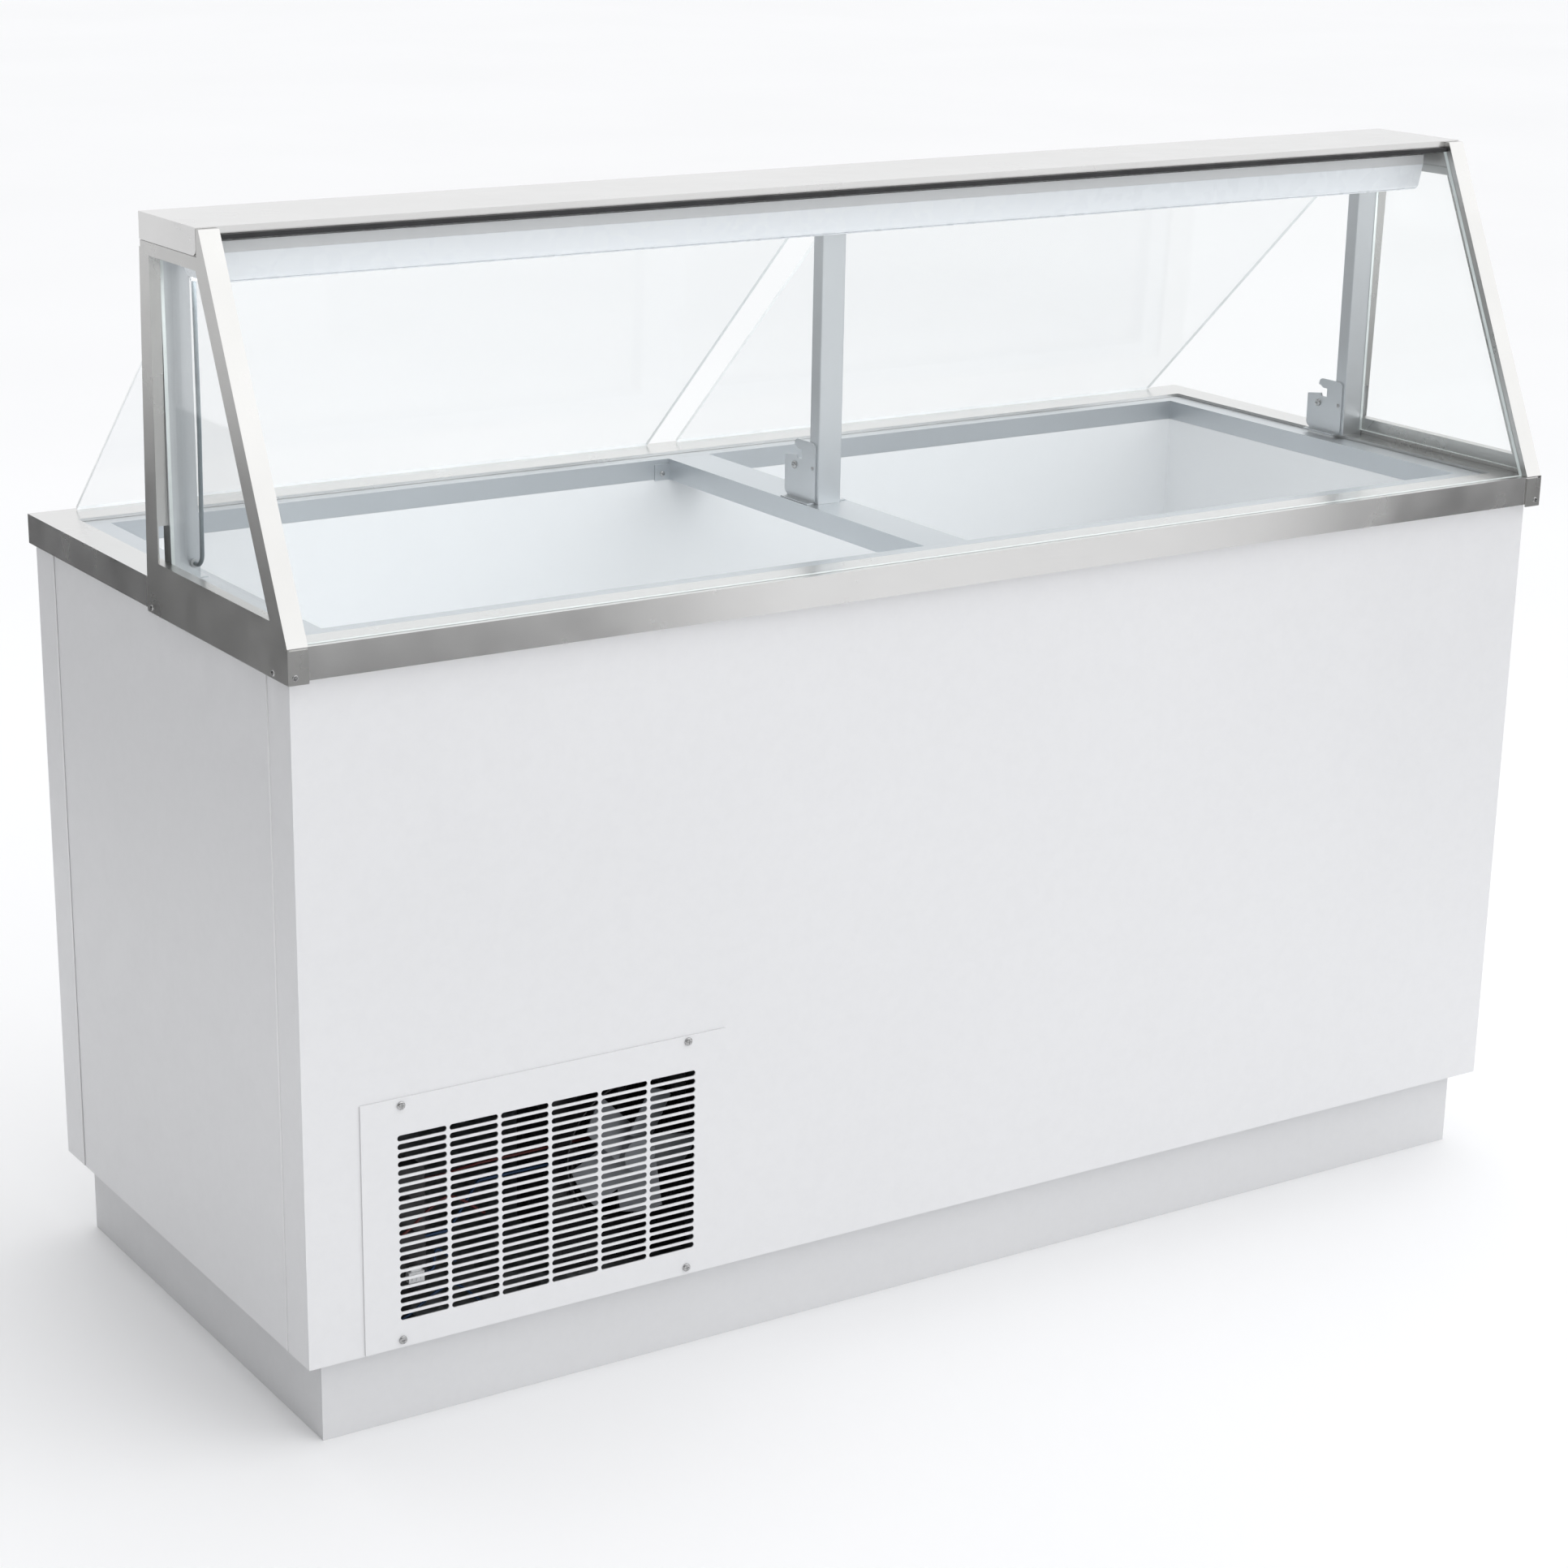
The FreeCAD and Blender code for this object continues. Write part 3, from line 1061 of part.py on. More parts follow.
def hinge_rail():
    """Strip behind the canopy's rear skirt, carrying a pair of knuckles for each clip."""
    x = HALF_WIDTH - FRAME_THICK - 6
    back = CANOPY_REAR - SHEET - FIT
    t = SHEET
    web_z = HINGE_Z + 2.4
    plate = box(-x, x, back - t, back, web_z, HEIGHT - SHEET - 4)
    shapes = [box(-x, x, back - t, HINGE_Y - BARREL_RADIUS - 1.2, web_z, web_z + t)]
    bores = []
    for centre in clip_centres(-1) + clip_centres(1):
        for way in (-1, 1):
            near = centre + way * (CLIP_WIDTH / 2 + KNUCKLE_GAP)
            x0, x1 = sorted((near, near + way * KNUCKLE))
            shapes.append(rod((x0, HINGE_Y, HINGE_Z), (1, 0, 0), BARREL_RADIUS, x1 - x0))
            shapes.append(box(x0, x1, HINGE_Y - BARREL_RADIUS - 1.5, HINGE_Y, web_z, web_z + t))
        start = (centre - CLIP_WIDTH, HINGE_Y, HINGE_Z)
        bores.append(rod(start, (1, 0, 0), PIN_RADIUS + 0.02, 2 * CLIP_WIDTH))
    w = POST_WIDTH / 2 + 0.5
    notches = [box(c - w, c + w, POST_FRONT - 1, POST_REAR + 0.5, web_z - 1, HEIGHT)
               for c in (-SIDE_POST_X, 0, SIDE_POST_X)]
    return plate.fuse(shapes).cut(bores + notches).removeSplitter()


def hinge_pins(side):
    """One pin through each clip and its two knuckles."""
    reach = CLIP_WIDTH / 2 + KNUCKLE_GAP + KNUCKLE
    return group([rod((x - reach, HINGE_Y, HINGE_Z), (1, 0, 0), PIN_RADIUS, 2 * reach)
                  for x in clip_centres(side)])


def frame_screws():
    """Screws through the end frames' skirts and front returns."""
    size = {"head_radius": 3.4, "head_height": SCREW_HEAD}
    screws = []
    for side in (-1, 1):
        for y in (-12, -332):
            screws.append(pan_head_screw((side * HALF_WIDTH, y, 905), (side, 0, 0), **size))
        screws.append(pan_head_screw((side * (HALF_WIDTH - 8), FRAME_FRONT, 907), (0, -1, 0), **size))
    return group(screws)


# ---- the assembly ---------------------------------------------------------------------------------
def assembly():
    inner_post = SIDE_POST_X
    faces = hook_faces()
    return {
        "plinth_front": plinth_front(),
        "plinth_rear": plinth_rear(),
        "plinth_left": plinth_left(),
        "plinth_right": plinth_right(),
        "base_pan": base_pan(),
        "front_panel": front_panel(),
        "rear_panel": rear_panel(),
        "left_panel": left_panel(),
        "right_panel": right_panel(),
        "tank_liner": liner(),
        "insulation": insulation(),
        "evaporator_front": evaporator(-1),
        "evaporator_rear": evaporator(1),
        "bay_lining": bay_lining(),
        "compressor": compressor(),
        "compressor_grommets": compressor_grommets(),
        "condenser": condenser(),
        "fan_shroud": fan_shroud(),
        "fan_motor": fan_motor(),
        "fan_blade": fan_blade(),
        "filter_drier": filter_drier(),
        "discharge_pipe": discharge_pipe(),
        "suction_pipe": suction_pipe(),
        "electrical_box": electrical_box(),
        "wire_blue": wire(208, -300, WIRE_ENDS[0]),
        "wire_red": wire(276, -294, WIRE_ENDS[1]),
        "vent_cover": vent_cover(),
        "vent_screws": group([front_vent_screws(), rear_vent_screws()]),
        "rear_vent_cover": rear_vent_cover(),
        "control_pan": control_pan(),
        "thermostat": thermostat(),
        "thermostat_knob": thermostat_knob(),
        "light_switch_bezel": switch_bezel(SWITCH_X[0]),
        "light_switch_rocker": switch_rocker(SWITCH_X[0]),
        "power_switch_bezel": switch_bezel(SWITCH_X[1]),
        "power_switch_rocker": switch_rocker(SWITCH_X[1]),
        "mains_gland": mains_gland(),
        "front_rail": front_rail(),
        "counter_rim": counter_rim(),
        "tank_collar": tank_collar(),
        "divider_beam": divider_beam(),
        "divider_screws": divider_screws(),
        "end_frame_left": end_frame_left(),
        "end_frame_right": end_frame_right(),
        "side_glass_left": side_glass_left(),
        "side_glass_right": side_glass_right(),
        "posts": group([post(-inner_post, COUNTER_TOP + 0.1), post(0, LEDGE_TOP + 0.1),
                        post(inner_post, COUNTER_TOP + 0.1)]),
        "hook_brackets": group([hook_bracket(x, side) for x, side in faces]),
        "small_screws": group([hook_screws(), frame_screws()]),
        "canopy": canopy(),
        "front_gasket": front_gasket(),
        "front_glass": front_glass(),
        "light_housing": light_housing(),
        "light_diffuser": light_diffuser(),
        "lamp_tube": group([lamp_tube(), lamp_socket(-1), lamp_socket(1)]),
        "lamp_cable": lamp_cable(),
        "cable_fittings": group([lamp_gland(), cable_grommet()]),
        "hinge_rail": group([hinge_rail(), hinge_pins(-1), hinge_pins(1)]),
        "left_lid": group([lid_pane(-1), lid_clips(-1)]),
        "right_lid": group([lid_pane(1), lid_clips(1)]),
    }


os.makedirs("parts", exist_ok=True)
for name, shape in assembly().items():
    if not shape.isValid():
        print("invalid shape:", name)
    shape.exportStep("parts/" + name + ".step")
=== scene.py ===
"""Looks of the ice-cream dipping cabinet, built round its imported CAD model. Metres, +Z up."""

import json
import math

import bmesh
import bpy
from mathutils import Matrix, Vector


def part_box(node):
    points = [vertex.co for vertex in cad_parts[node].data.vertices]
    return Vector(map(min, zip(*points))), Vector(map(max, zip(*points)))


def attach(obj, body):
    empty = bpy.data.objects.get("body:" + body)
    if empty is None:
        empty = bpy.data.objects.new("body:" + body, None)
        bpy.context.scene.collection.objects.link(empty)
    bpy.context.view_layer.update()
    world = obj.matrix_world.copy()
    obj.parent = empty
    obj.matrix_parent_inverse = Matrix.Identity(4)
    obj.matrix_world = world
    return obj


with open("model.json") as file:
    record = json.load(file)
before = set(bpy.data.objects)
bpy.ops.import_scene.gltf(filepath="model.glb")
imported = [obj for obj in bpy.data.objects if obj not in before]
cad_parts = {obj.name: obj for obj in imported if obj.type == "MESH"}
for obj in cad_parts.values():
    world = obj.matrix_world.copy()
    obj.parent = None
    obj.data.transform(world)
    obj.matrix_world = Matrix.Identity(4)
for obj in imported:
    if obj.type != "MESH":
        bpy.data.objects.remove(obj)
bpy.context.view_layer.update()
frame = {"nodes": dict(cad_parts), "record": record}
nodes = frame["nodes"]
MM = 0.001


# ---- camera -----------------------------------------------------------------------------------
SENSOR = 36.0                        # mm across the frame
LENS = 77.3422                       # mm
SHIFT = (0.059161, 0.045704)         # in frame widths
FAR_CLIP = 200.0
EYE = Vector((-2.3026, -3.4448, 1.8326))
AZIMUTH, ELEVATION, ROLL = (math.radians(a) for a in (-31.760, 18.335, 0.543))


def add_camera():
    """The photograph's viewpoint: `back` points from the cabinet to the camera."""
    back = Vector((math.sin(AZIMUTH) * math.cos(ELEVATION), -math.cos(AZIMUTH) * math.cos(ELEVATION),
                   math.sin(ELEVATION)))
    right = (-back).cross(Vector((0, 0, 1))).normalized()
    up = right.cross(-back)
    turned = Matrix((right * math.cos(ROLL) + up * math.sin(ROLL),
                     up * math.cos(ROLL) - right * math.sin(ROLL), back)).transposed()
    data = bpy.data.cameras.new("camera")
    data.sensor_width = SENSOR
    data.sensor_fit = "HORIZONTAL"
    data.lens = LENS
    data.shift_x, data.shift_y = SHIFT
    data.clip_end = FAR_CLIP
    camera = bpy.data.objects.new("camera", data)
    camera.matrix_world = Matrix.Translation(EYE) @ turned.to_4x4()
    bpy.context.scene.collection.objects.link(camera)
    bpy.context.scene.camera = camera


# ---- lights -----------------------------------------------------------------------------------
def area_light(name, place, target, size, power):
    """A rectangular lamp at `place` that faces `target`."""
    data = bpy.data.lights.new(name, "AREA")
    data.shape = "RECTANGLE"
    data.size, data.size_y = size
    data.energy = power
    light = bpy.data.objects.new(name, data)
    light.location = place
    light.rotation_euler = (Vector(target) - Vector(place)).to_track_quat("-Z", "Y").to_euler()
    bpy.context.scene.collection.objects.link(light)
    return light


OVERHEAD_PLACE, OVERHEAD_TARGET = (0.3, -0.6, 4.4), (0, 0, 0.6)
OVERHEAD_SIZE, OVERHEAD_POWER = (4.5, 3.5), 26      # metres and watts, as for the lamp
LAMP_DROP = 4 * MM                   # below the diffuser
LAMP_TARGET = (0, 0.02, 0.5)
LAMP_WIDTH, LAMP_POWER = 0.05, 2.2

# The sky adds up four smooth parts, and each range maps a direction's reading to a strength. It is dim
# on the left, and brighter on the right, overhead, and around KEY_TOWARDS and REAR_TOWARDS.
SKY_TINT = (0.985, 0.99, 1.0, 1)
SIDE_RANGE = ((-0.9, 0.1), (0.15, 0.80))
ZENITH_RANGE = ((0.15, 1.0), (0.0, 0.42))
KEY_TOWARDS = Vector((0.60, -0.66, 0.42)).normalized()
KEY_RANGE = ((0.80, 0.97), (0.0, 0.80))
REAR_TOWARDS = Vector((0.45, 0.80, 0.40)).normalized()
REAR_RANGE = ((0.70, 0.95), (0.0, 0.22))


def add_lights():
    """A large soft light overhead, and the cabinet's own lamp, which reflections don't show."""
    area_light("overhead", OVERHEAD_PLACE, OVERHEAD_TARGET, OVERHEAD_SIZE, OVERHEAD_POWER)
    low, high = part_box("light_diffuser")
    middle = (low + high) / 2
    lamp = area_light("well_lamp", (0, middle.y, low.z - LAMP_DROP), LAMP_TARGET,
                      (high.x - low.x, LAMP_WIDTH), LAMP_POWER)
    lamp.visible_glossy = False


def add_sky():
    """A plain white sky whose strength changes slowly with direction."""
    world = bpy.data.worlds.new("studio")
    world.use_nodes = True
    tree = world.node_tree
    link = tree.links.new
    direction = tree.nodes.new("ShaderNodeTexCoord").outputs["Generated"]
    axes = tree.nodes.new("ShaderNodeSeparateXYZ")
    link(direction, axes.inputs["Vector"])

    def nearness(towards):
        """How near a direction is to `towards`: 1 along it, 0 square to it."""
        node = tree.nodes.new("ShaderNodeVectorMath")
        node.operation = "DOT_PRODUCT"
        node.inputs[1].default_value = towards
        link(direction, node.inputs[0])
        return node.outputs["Value"]

    def level(value, ranges):
        """A smooth step from one range to the other."""
        node = tree.nodes.new("ShaderNodeMapRange")
        node.interpolation_type = "SMOOTHSTEP"
        for socket, number in zip(("From Min", "From Max", "To Min", "To Max"), ranges[0] + ranges[1]):
            node.inputs[socket].default_value = number
        link(value, node.inputs["Value"])
        return node.outputs["Result"]

    total = level(axes.outputs["X"], SIDE_RANGE)
    for part in (level(axes.outputs["Z"], ZENITH_RANGE), level(nearness(KEY_TOWARDS), KEY_RANGE),
                 level(nearness(REAR_TOWARDS), REAR_RANGE)):
        add = tree.nodes.new("ShaderNodeMath")
        link(total, add.inputs[0])
        link(part, add.inputs[1])
        total = add.outputs["Value"]
    background = tree.nodes["Background"]
    background.inputs["Color"].default_value = SKY_TINT
    link(total, background.inputs["Strength"])
    bpy.context.scene.world = world
    bpy.context.scene.view_settings.view_transform = "Standard"


# ---- material helpers -------------------------------------------------------------------------
class Surface:
    """A node material built up one small step at a time."""

    def __init__(self, name):
        self.material = bpy.data.materials.new(name)
        self.material.use_nodes = True
        self.tree = self.material.node_tree
        self.shader = self.tree.nodes["Principled BSDF"]
        self.coords = self.tree.nodes.new("ShaderNodeTexCoord").outputs["Object"]

    def set(self, **values):
        """Set the shader's own sockets, with _ for each space in a socket's name."""
        for key, value in values.items():
            self.shader.inputs[key.replace("_", " ")].default_value = value

    def link(self, output, socket):
        self.tree.links.new(output, socket)

    def noise(self, scale, stretch=(1, 1, 1), detail=3.0, roughness=0.5):
        """Noise with `scale` features per metre, stretched per axis."""
        mapping = self.tree.nodes.new("ShaderNodeMapping")
        mapping.inputs["Scale"].default_value = stretch
        self.link(self.coords, mapping.inputs["Vector"])
        node = self.tree.nodes.new("ShaderNodeTexNoise")
        node.inputs["Scale"].default_value = scale
        node.inputs["Detail"].default_value = detail
        node.inputs["Roughness"].default_value = roughness
        self.link(mapping.outputs["Vector"], node.inputs["Vector"])
        return node.outputs["Fac"]

    def ramp(self, value, low, high, at=(0.3, 0.7)):
        """Map a 0..1 value to a colour or a grey between `low` and `high`."""
        node = self.tree.nodes.new("ShaderNodeValToRGB")
        node.color_ramp.elements[0].position, node.color_ramp.elements[1].position = at
        for element, colour in zip(node.color_ramp.elements, (low, high)):
            element.color = (colour, colour, colour, 1) if isinstance(colour, float) else (*colour, 1)
        self.link(value, node.inputs["Fac"])
        return node.outputs["Color"]

    def multiply(self, first, second):
        node = self.tree.nodes.new("ShaderNodeMix")
        node.data_type = "RGBA"
        node.blend_type = "MULTIPLY"
        node.inputs["Factor"].default_value = 1.0
        self.link(first, node.inputs["A"])
        self.link(second, node.inputs["B"])
        return node.outputs["Result"]

    def colour(self, output):
        self.link(output, self.shader.inputs["Base Color"])

    def rough(self, value, low, high):
        """Roughness from `low` to `high` as `value` rises."""
        self.link(self.ramp(value, low, high), self.shader.inputs["Roughness"])

    def bump(self, value, depth, strength):
        """Relief from `value`, `depth` metres from its lowest to its highest."""
        node = self.tree.nodes.new("ShaderNodeBump")
        node.inputs["Distance"].default_value = depth
        node.inputs["Strength"].default_value = strength
        self.link(value, node.inputs["Height"])
        self.link(node.outputs["Normal"], self.shader.inputs["Normal"])


def painted(name, light, dark, roughness=0.34):
    """Powder coat: faint orange peel, slow shade changes and a little settled dust."""
    s = Surface(name)
    shade = s.ramp(s.noise(1.6, detail=2.0), dark, light)
    dust = s.ramp(s.noise(70, detail=5.0, roughness=0.65), 0.985, 1.0, (0.35, 0.6))
    s.colour(s.multiply(shade, dust))
    s.rough(s.noise(24, detail=4.0), roughness - 0.05, roughness + 0.08)
    s.bump(s.noise(520, detail=2.0), 0.00006, 0.35)
    s.set(Coat_Weight=0.12, Coat_Roughness=0.25)
    return s.material


STRETCH = 0.012                      # a scratch's noise scale along its length
STREAK = {"x": (STRETCH, 1, 1), "y": (1, STRETCH, 1), "z": (1, 1, STRETCH)}


def brushed(name, light, dark, along, roughness):
    """Brushed stainless: long fine scratches along one axis over slow cloudy changes."""
    s = Surface(name)
    grain = s.noise(2600, STREAK[along], detail=4.0, roughness=0.6)
    lines = s.ramp(s.noise(900, STREAK[along], detail=2.0), 0.985, 1.0)
    cloud = s.ramp(s.noise(5.5, detail=3.0), 0.965, 1.0)
    shade = s.ramp(grain, dark, light, (0.2, 0.8))
    s.colour(s.multiply(s.multiply(shade, lines), cloud))
    s.rough(s.noise(14, detail=3.0), roughness - 0.02, roughness + 0.04)
    s.bump(grain, 0.000003, 0.12)
    s.set(Metallic=1.0)
    return s.material


def moulded(name, light, dark, roughness=0.42, grain=420, depth=0.00008):
    """Moulded plastic or rubber: fine texture with slight mottling."""
    s = Surface(name)
    s.colour(s.ramp(s.noise(34, detail=4.0), dark, light))
    s.rough(s.noise(60, detail=3.0), roughness - 0.05, roughness + 0.08)
    s.bump(s.noise(grain, detail=3.0), depth, 0.5)
    return s.material


def dull_metal(name, light, dark, roughness=0.4, spangle=60):
    """Galvanised or cast surfaces: crystalline spangle with uneven tarnish."""
    s = Surface(name)
    cells = s.tree.nodes.new("ShaderNodeTexVoronoi")
    cells.inputs["Scale"].default_value = spangle
    s.link(s.coords, cells.inputs["Vector"])
    grey = s.tree.nodes.new("ShaderNodeRGBToBW")
    s.link(cells.outputs["Color"], grey.inputs["Color"])
    tarnish = s.ramp(s.noise(18, detail=4.0), 0.86, 1.0)
    s.colour(s.multiply(s.ramp(grey.outputs["Val"], dark, light), tarnish))
    s.rough(grey.outputs["Val"], roughness - 0.06, roughness + 0.1)
    s.bump(s.noise(300, detail=3.0), 0.00005, 0.4)
    s.set(Metallic=1.0)
    return s.material


PANE_ROUGHNESS = 0.02
MIRROR_FACING, MIRROR_GRAZING = 0.012, 0.8
MIRROR_POWER = 5.0                   # how late the mirroring rises toward a grazing view


def pane(name, tint, film_tint, haze):
    """Clear sheet: light passes straight through, it mirrors by its angle and holds a faint film."""
    s = Surface(name)
    tree = s.tree
    tree.nodes.remove(s.shader)
    clear = tree.nodes.new("ShaderNodeBsdfTransparent")
    clear.inputs["Color"].default_value = (*tint, 1)
    shine = tree.nodes.new("ShaderNodeBsdfGlossy")
    shine.inputs["Roughness"].default_value = PANE_ROUGHNESS
    weight = tree.nodes.new("ShaderNodeLayerWeight")
    weight.inputs["Blend"].default_value = 0.5
    steep = tree.nodes.new("ShaderNodeMath")
    steep.operation = "POWER"
    steep.inputs[1].default_value = MIRROR_POWER
    s.link(weight.outputs["Facing"], steep.inputs[0])
    mirror = tree.nodes.new("ShaderNodeMapRange")
    mirror.inputs["To Min"].default_value = MIRROR_FACING
    mirror.inputs["To Max"].default_value = MIRROR_GRAZING
    s.link(steep.outputs["Value"], mirror.inputs["Value"])
    mirrored = tree.nodes.new("ShaderNodeMixShader")
    s.link(mirror.outputs["Result"], mirrored.inputs["Fac"])
    s.link(clear.outputs["BSDF"], mirrored.inputs[1])
    s.link(shine.outputs["BSDF"], mirrored.inputs[2])
    film = tree.nodes.new("ShaderNodeBsdfDiffuse")
    film.inputs["Color"].default_value = (*film_tint, 1)
    amount = s.ramp(s.noise(6, (1, 1, 0.6), detail=5.0), haze * 0.5, haze * 1.5)
    out = tree.nodes.new("ShaderNodeMixShader")
    s.link(amount, out.inputs["Fac"])
    s.link(mirrored.outputs["Shader"], out.inputs[1])
    s.link(film.outputs["BSDF"], out.inputs[2])
    s.link(out.outputs["Shader"], tree.nodes["Material Output"].inputs["Surface"])
    return s.material


def opal(name):
    """Lit opal acrylic: milky, with a faint glow from the lamp behind it."""
    s = Surface(name)
    s.colour(s.ramp(s.noise(8, (0.15, 1, 1), detail=3.0), (0.82, 0.85, 0.89), (0.88, 0.90, 0.93)))
    s.rough(s.noise(45), 0.22, 0.34)
    s.bump(s.noise(300, (0.3, 1, 1), detail=2.0), 0.00004, 0.4)
    s.set(Coat_Weight=0.2, Emission_Color=(0.93, 0.96, 1.0, 1), Emission_Strength=0.12)
    return s.material


def cut_edge(name, tint, glow):
    """Polished edge of a clear sheet with a painted glow: its emission stands in for some of the light
    that its faces take in.
    """
    s = Surface(name)
    s.colour(s.ramp(s.noise(30, detail=3.0), tuple(0.86 * c for c in tint), tint))
    s.rough(s.noise(120), 0.14, 0.26)
    s.bump(s.noise(400, detail=2.0), 0.00003, 0.4)
    # painted glow: the edge emits light though it is no lamp
    s.set(Coat_Weight=0.3, Coat_Roughness=0.1, Emission_Color=(*tint, 1), Emission_Strength=glow)
    return s.material


# ---- materials by slot ------------------------------------------------------------------------
STEEL_LIGHT = (0.74, 0.735, 0.725)
STEEL_DARK = (0.69, 0.685, 0.675)
COOL_LIGHT = (0.65, 0.675, 0.695)
COOL_DARK = (0.62, 0.645, 0.665)
COLLAR_LIGHT = (0.63, 0.66, 0.685)
COLLAR_DARK = (0.59, 0.62, 0.645)

materials = {
    "white_paint": painted("white_paint", (0.80, 0.803, 0.815), (0.785, 0.788, 0.80)),
    "plinth_paint": painted("plinth_paint", (0.735, 0.738, 0.748), (0.71, 0.713, 0.723), 0.42),
    "stainless": brushed("stainless", STEEL_LIGHT, STEEL_DARK, "x", roughness=0.24),
    # stainless_y is a darker copy of the brushed steel: painted shade for the end frames
    "stainless_y": brushed("stainless_y", (0.60, 0.597, 0.583), (0.565, 0.56, 0.547), "y", roughness=0.28),
    "stainless_z": brushed("stainless_z", COOL_LIGHT, COOL_DARK, "z", roughness=0.36),
    "stainless_collar": brushed("stainless_collar", COLLAR_LIGHT, COLLAR_DARK, "x", roughness=0.36),
    # lighter than white_paint: a painted highlight where the rounded hem catches light
    "hem_highlight_paint": painted("hem_highlight_paint", (0.93, 0.93, 0.935), (0.90, 0.90, 0.91)),
    "liner_white": painted("liner_white", (0.92, 0.935, 0.945), (0.90, 0.915, 0.93), 0.45),
    "foam": moulded("foam", (0.82, 0.72, 0.48), (0.70, 0.60, 0.38), 0.85, 160, 0.0006),
    "copper_pipe": dull_metal("copper_pipe", (0.78, 0.42, 0.27), (0.55, 0.27, 0.17), 0.32, 90),
    "galvanised": dull_metal("galvanised", (0.66, 0.68, 0.70), (0.50, 0.52, 0.54)),
    "compressor_black": painted("compressor_black", (0.035, 0.035, 0.038), (0.02, 0.02, 0.022), 0.25),
    "black_rubber": moulded("black_rubber", (0.022, 0.022, 0.024), (0.012, 0.012, 0.013), 0.6, 700),
    # grey_plastic: a real grey, kept darker as painted shade for the fan in the dim machine bay
    "grey_plastic": moulded("grey_plastic", (0.25, 0.26, 0.28), (0.19, 0.20, 0.215)),
    "fitting_grey": moulded("fitting_grey", (0.58, 0.60, 0.62), (0.52, 0.54, 0.56)),
    "black_plastic": moulded("black_plastic", (0.035, 0.035, 0.037), (0.02, 0.02, 0.022), 0.4),
    "white_plastic": moulded("white_plastic", (0.84, 0.85, 0.86), (0.78, 0.79, 0.80), 0.3),
    "opal_plastic": opal("opal_plastic"),
    # wire_blue and wire_red: their own colours, darkened further as painted shade for leads in the dim
    # machine bay
    "wire_blue": moulded("wire_blue", (0.012, 0.05, 0.13), (0.009, 0.04, 0.10), 0.5, 900, 0.00003),
    "wire_red": moulded("wire_red", (0.11, 0.015, 0.013), (0.09, 0.011, 0.01), 0.5, 900, 0.00003),
    "cable_grey": moulded("cable_grey", (0.24, 0.28, 0.30), (0.18, 0.21, 0.23), 0.38, 900, 0.00003),
    "clear_glass": pane("clear_glass", (0.994, 0.998, 0.997), (0.85, 0.90, 0.90), 0.006),
    "clear_lid": pane("clear_lid", (0.992, 0.996, 0.997), (0.82, 0.86, 0.89), 0.012),
    # glass_edge and lid_edge carry a painted glow along the clear sheets' rims
    "glass_edge": cut_edge("glass_edge", (0.72, 0.77, 0.765), 0.12),
    "lid_edge": cut_edge("lid_edge", (0.90, 0.92, 0.93), 0.32),
    "screw_steel": dull_metal("screw_steel", (0.56, 0.56, 0.56), (0.44, 0.44, 0.44), 0.2, 500),
}

FINISH_BY_NODE = {
    # the end frames take stainless_y, whose darker colour is painted shade
    "end_frame_left": "stainless_y", "end_frame_right": "stainless_y", "posts": "stainless_z",
    "hook_brackets": "stainless_z", "cable_fittings": "fitting_grey",
}
slot_of = {entry["node"]: entry["material_slot"] for entry in frame["record"]["subparts"]}

PAINTED_SHEETS = ("front_panel", "rear_panel", "left_panel", "right_panel", "plinth_front", "plinth_left",
                  "plinth_right", "plinth_rear")
WORN_WIDTH = 0.35 * MM
SHARP_ANGLE = math.radians(50)


def dress_nodes():
    """Give every CAD node its material, and the painted sheets' edges a small worn radius."""
    for name, node in nodes.items():
        material = materials[FINISH_BY_NODE.get(name, slot_of[name])]
        node.data.materials.clear()
        node.data.materials.append(material)
    for name in PAINTED_SHEETS:
        bevel = nodes[name].modifiers.new("worn_edge", "BEVEL")
        bevel.width = WORN_WIDTH
        bevel.segments = 2
        bevel.limit_method = "ANGLE"
        bevel.angle_limit = SHARP_ANGLE


# ---- pieces added to the CAD --------------------------------------------------------------------
def add_piece(name, mesh, material, body):
    """Make an object of `mesh` in `material`, which rides `body`."""
    data = bpy.data.meshes.new(name)
    mesh.normal_update()
    mesh.to_mesh(data)
    mesh.free()
    data.materials.append(material)
    piece = bpy.data.objects.new(name, data)
    bpy.context.scene.collection.objects.link(piece)
    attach(piece, body)


def pane_faces(mesh):
    """Faces of the widest separate solid in `mesh`: a lid's pane without its clips."""
    mesh.faces.ensure_lookup_table()
    unseen = set(mesh.faces)
    islands = []
    while unseen:
        island = [unseen.pop()]
        for face in island:
            for edge in face.edges:
                for other in edge.link_faces:
                    if other in unseen:
                        unseen.remove(other)
                        island.append(other)
        islands.append(island)
    return max(islands, key=lambda faces: sum(face.calc_area() for face in faces))


CLEAR_SHEETS = (                     # node, body it rides, finish of its edge
    ("front_glass", "cabinet", "glass_edge"),
    ("side_glass_left", "cabinet", "glass_edge"),
    ("side_glass_right", "cabinet", "glass_edge"),
    ("left_lid", "left_lid", "lid_edge"),
    ("right_lid", "right_lid", "lid_edge"),
)
WELD = 0.01 * MM
RIM_THICKNESS = 0.06 * MM
EDGE_ON = 0.5                        # largest cosine between a rim face's normal and the sheet's


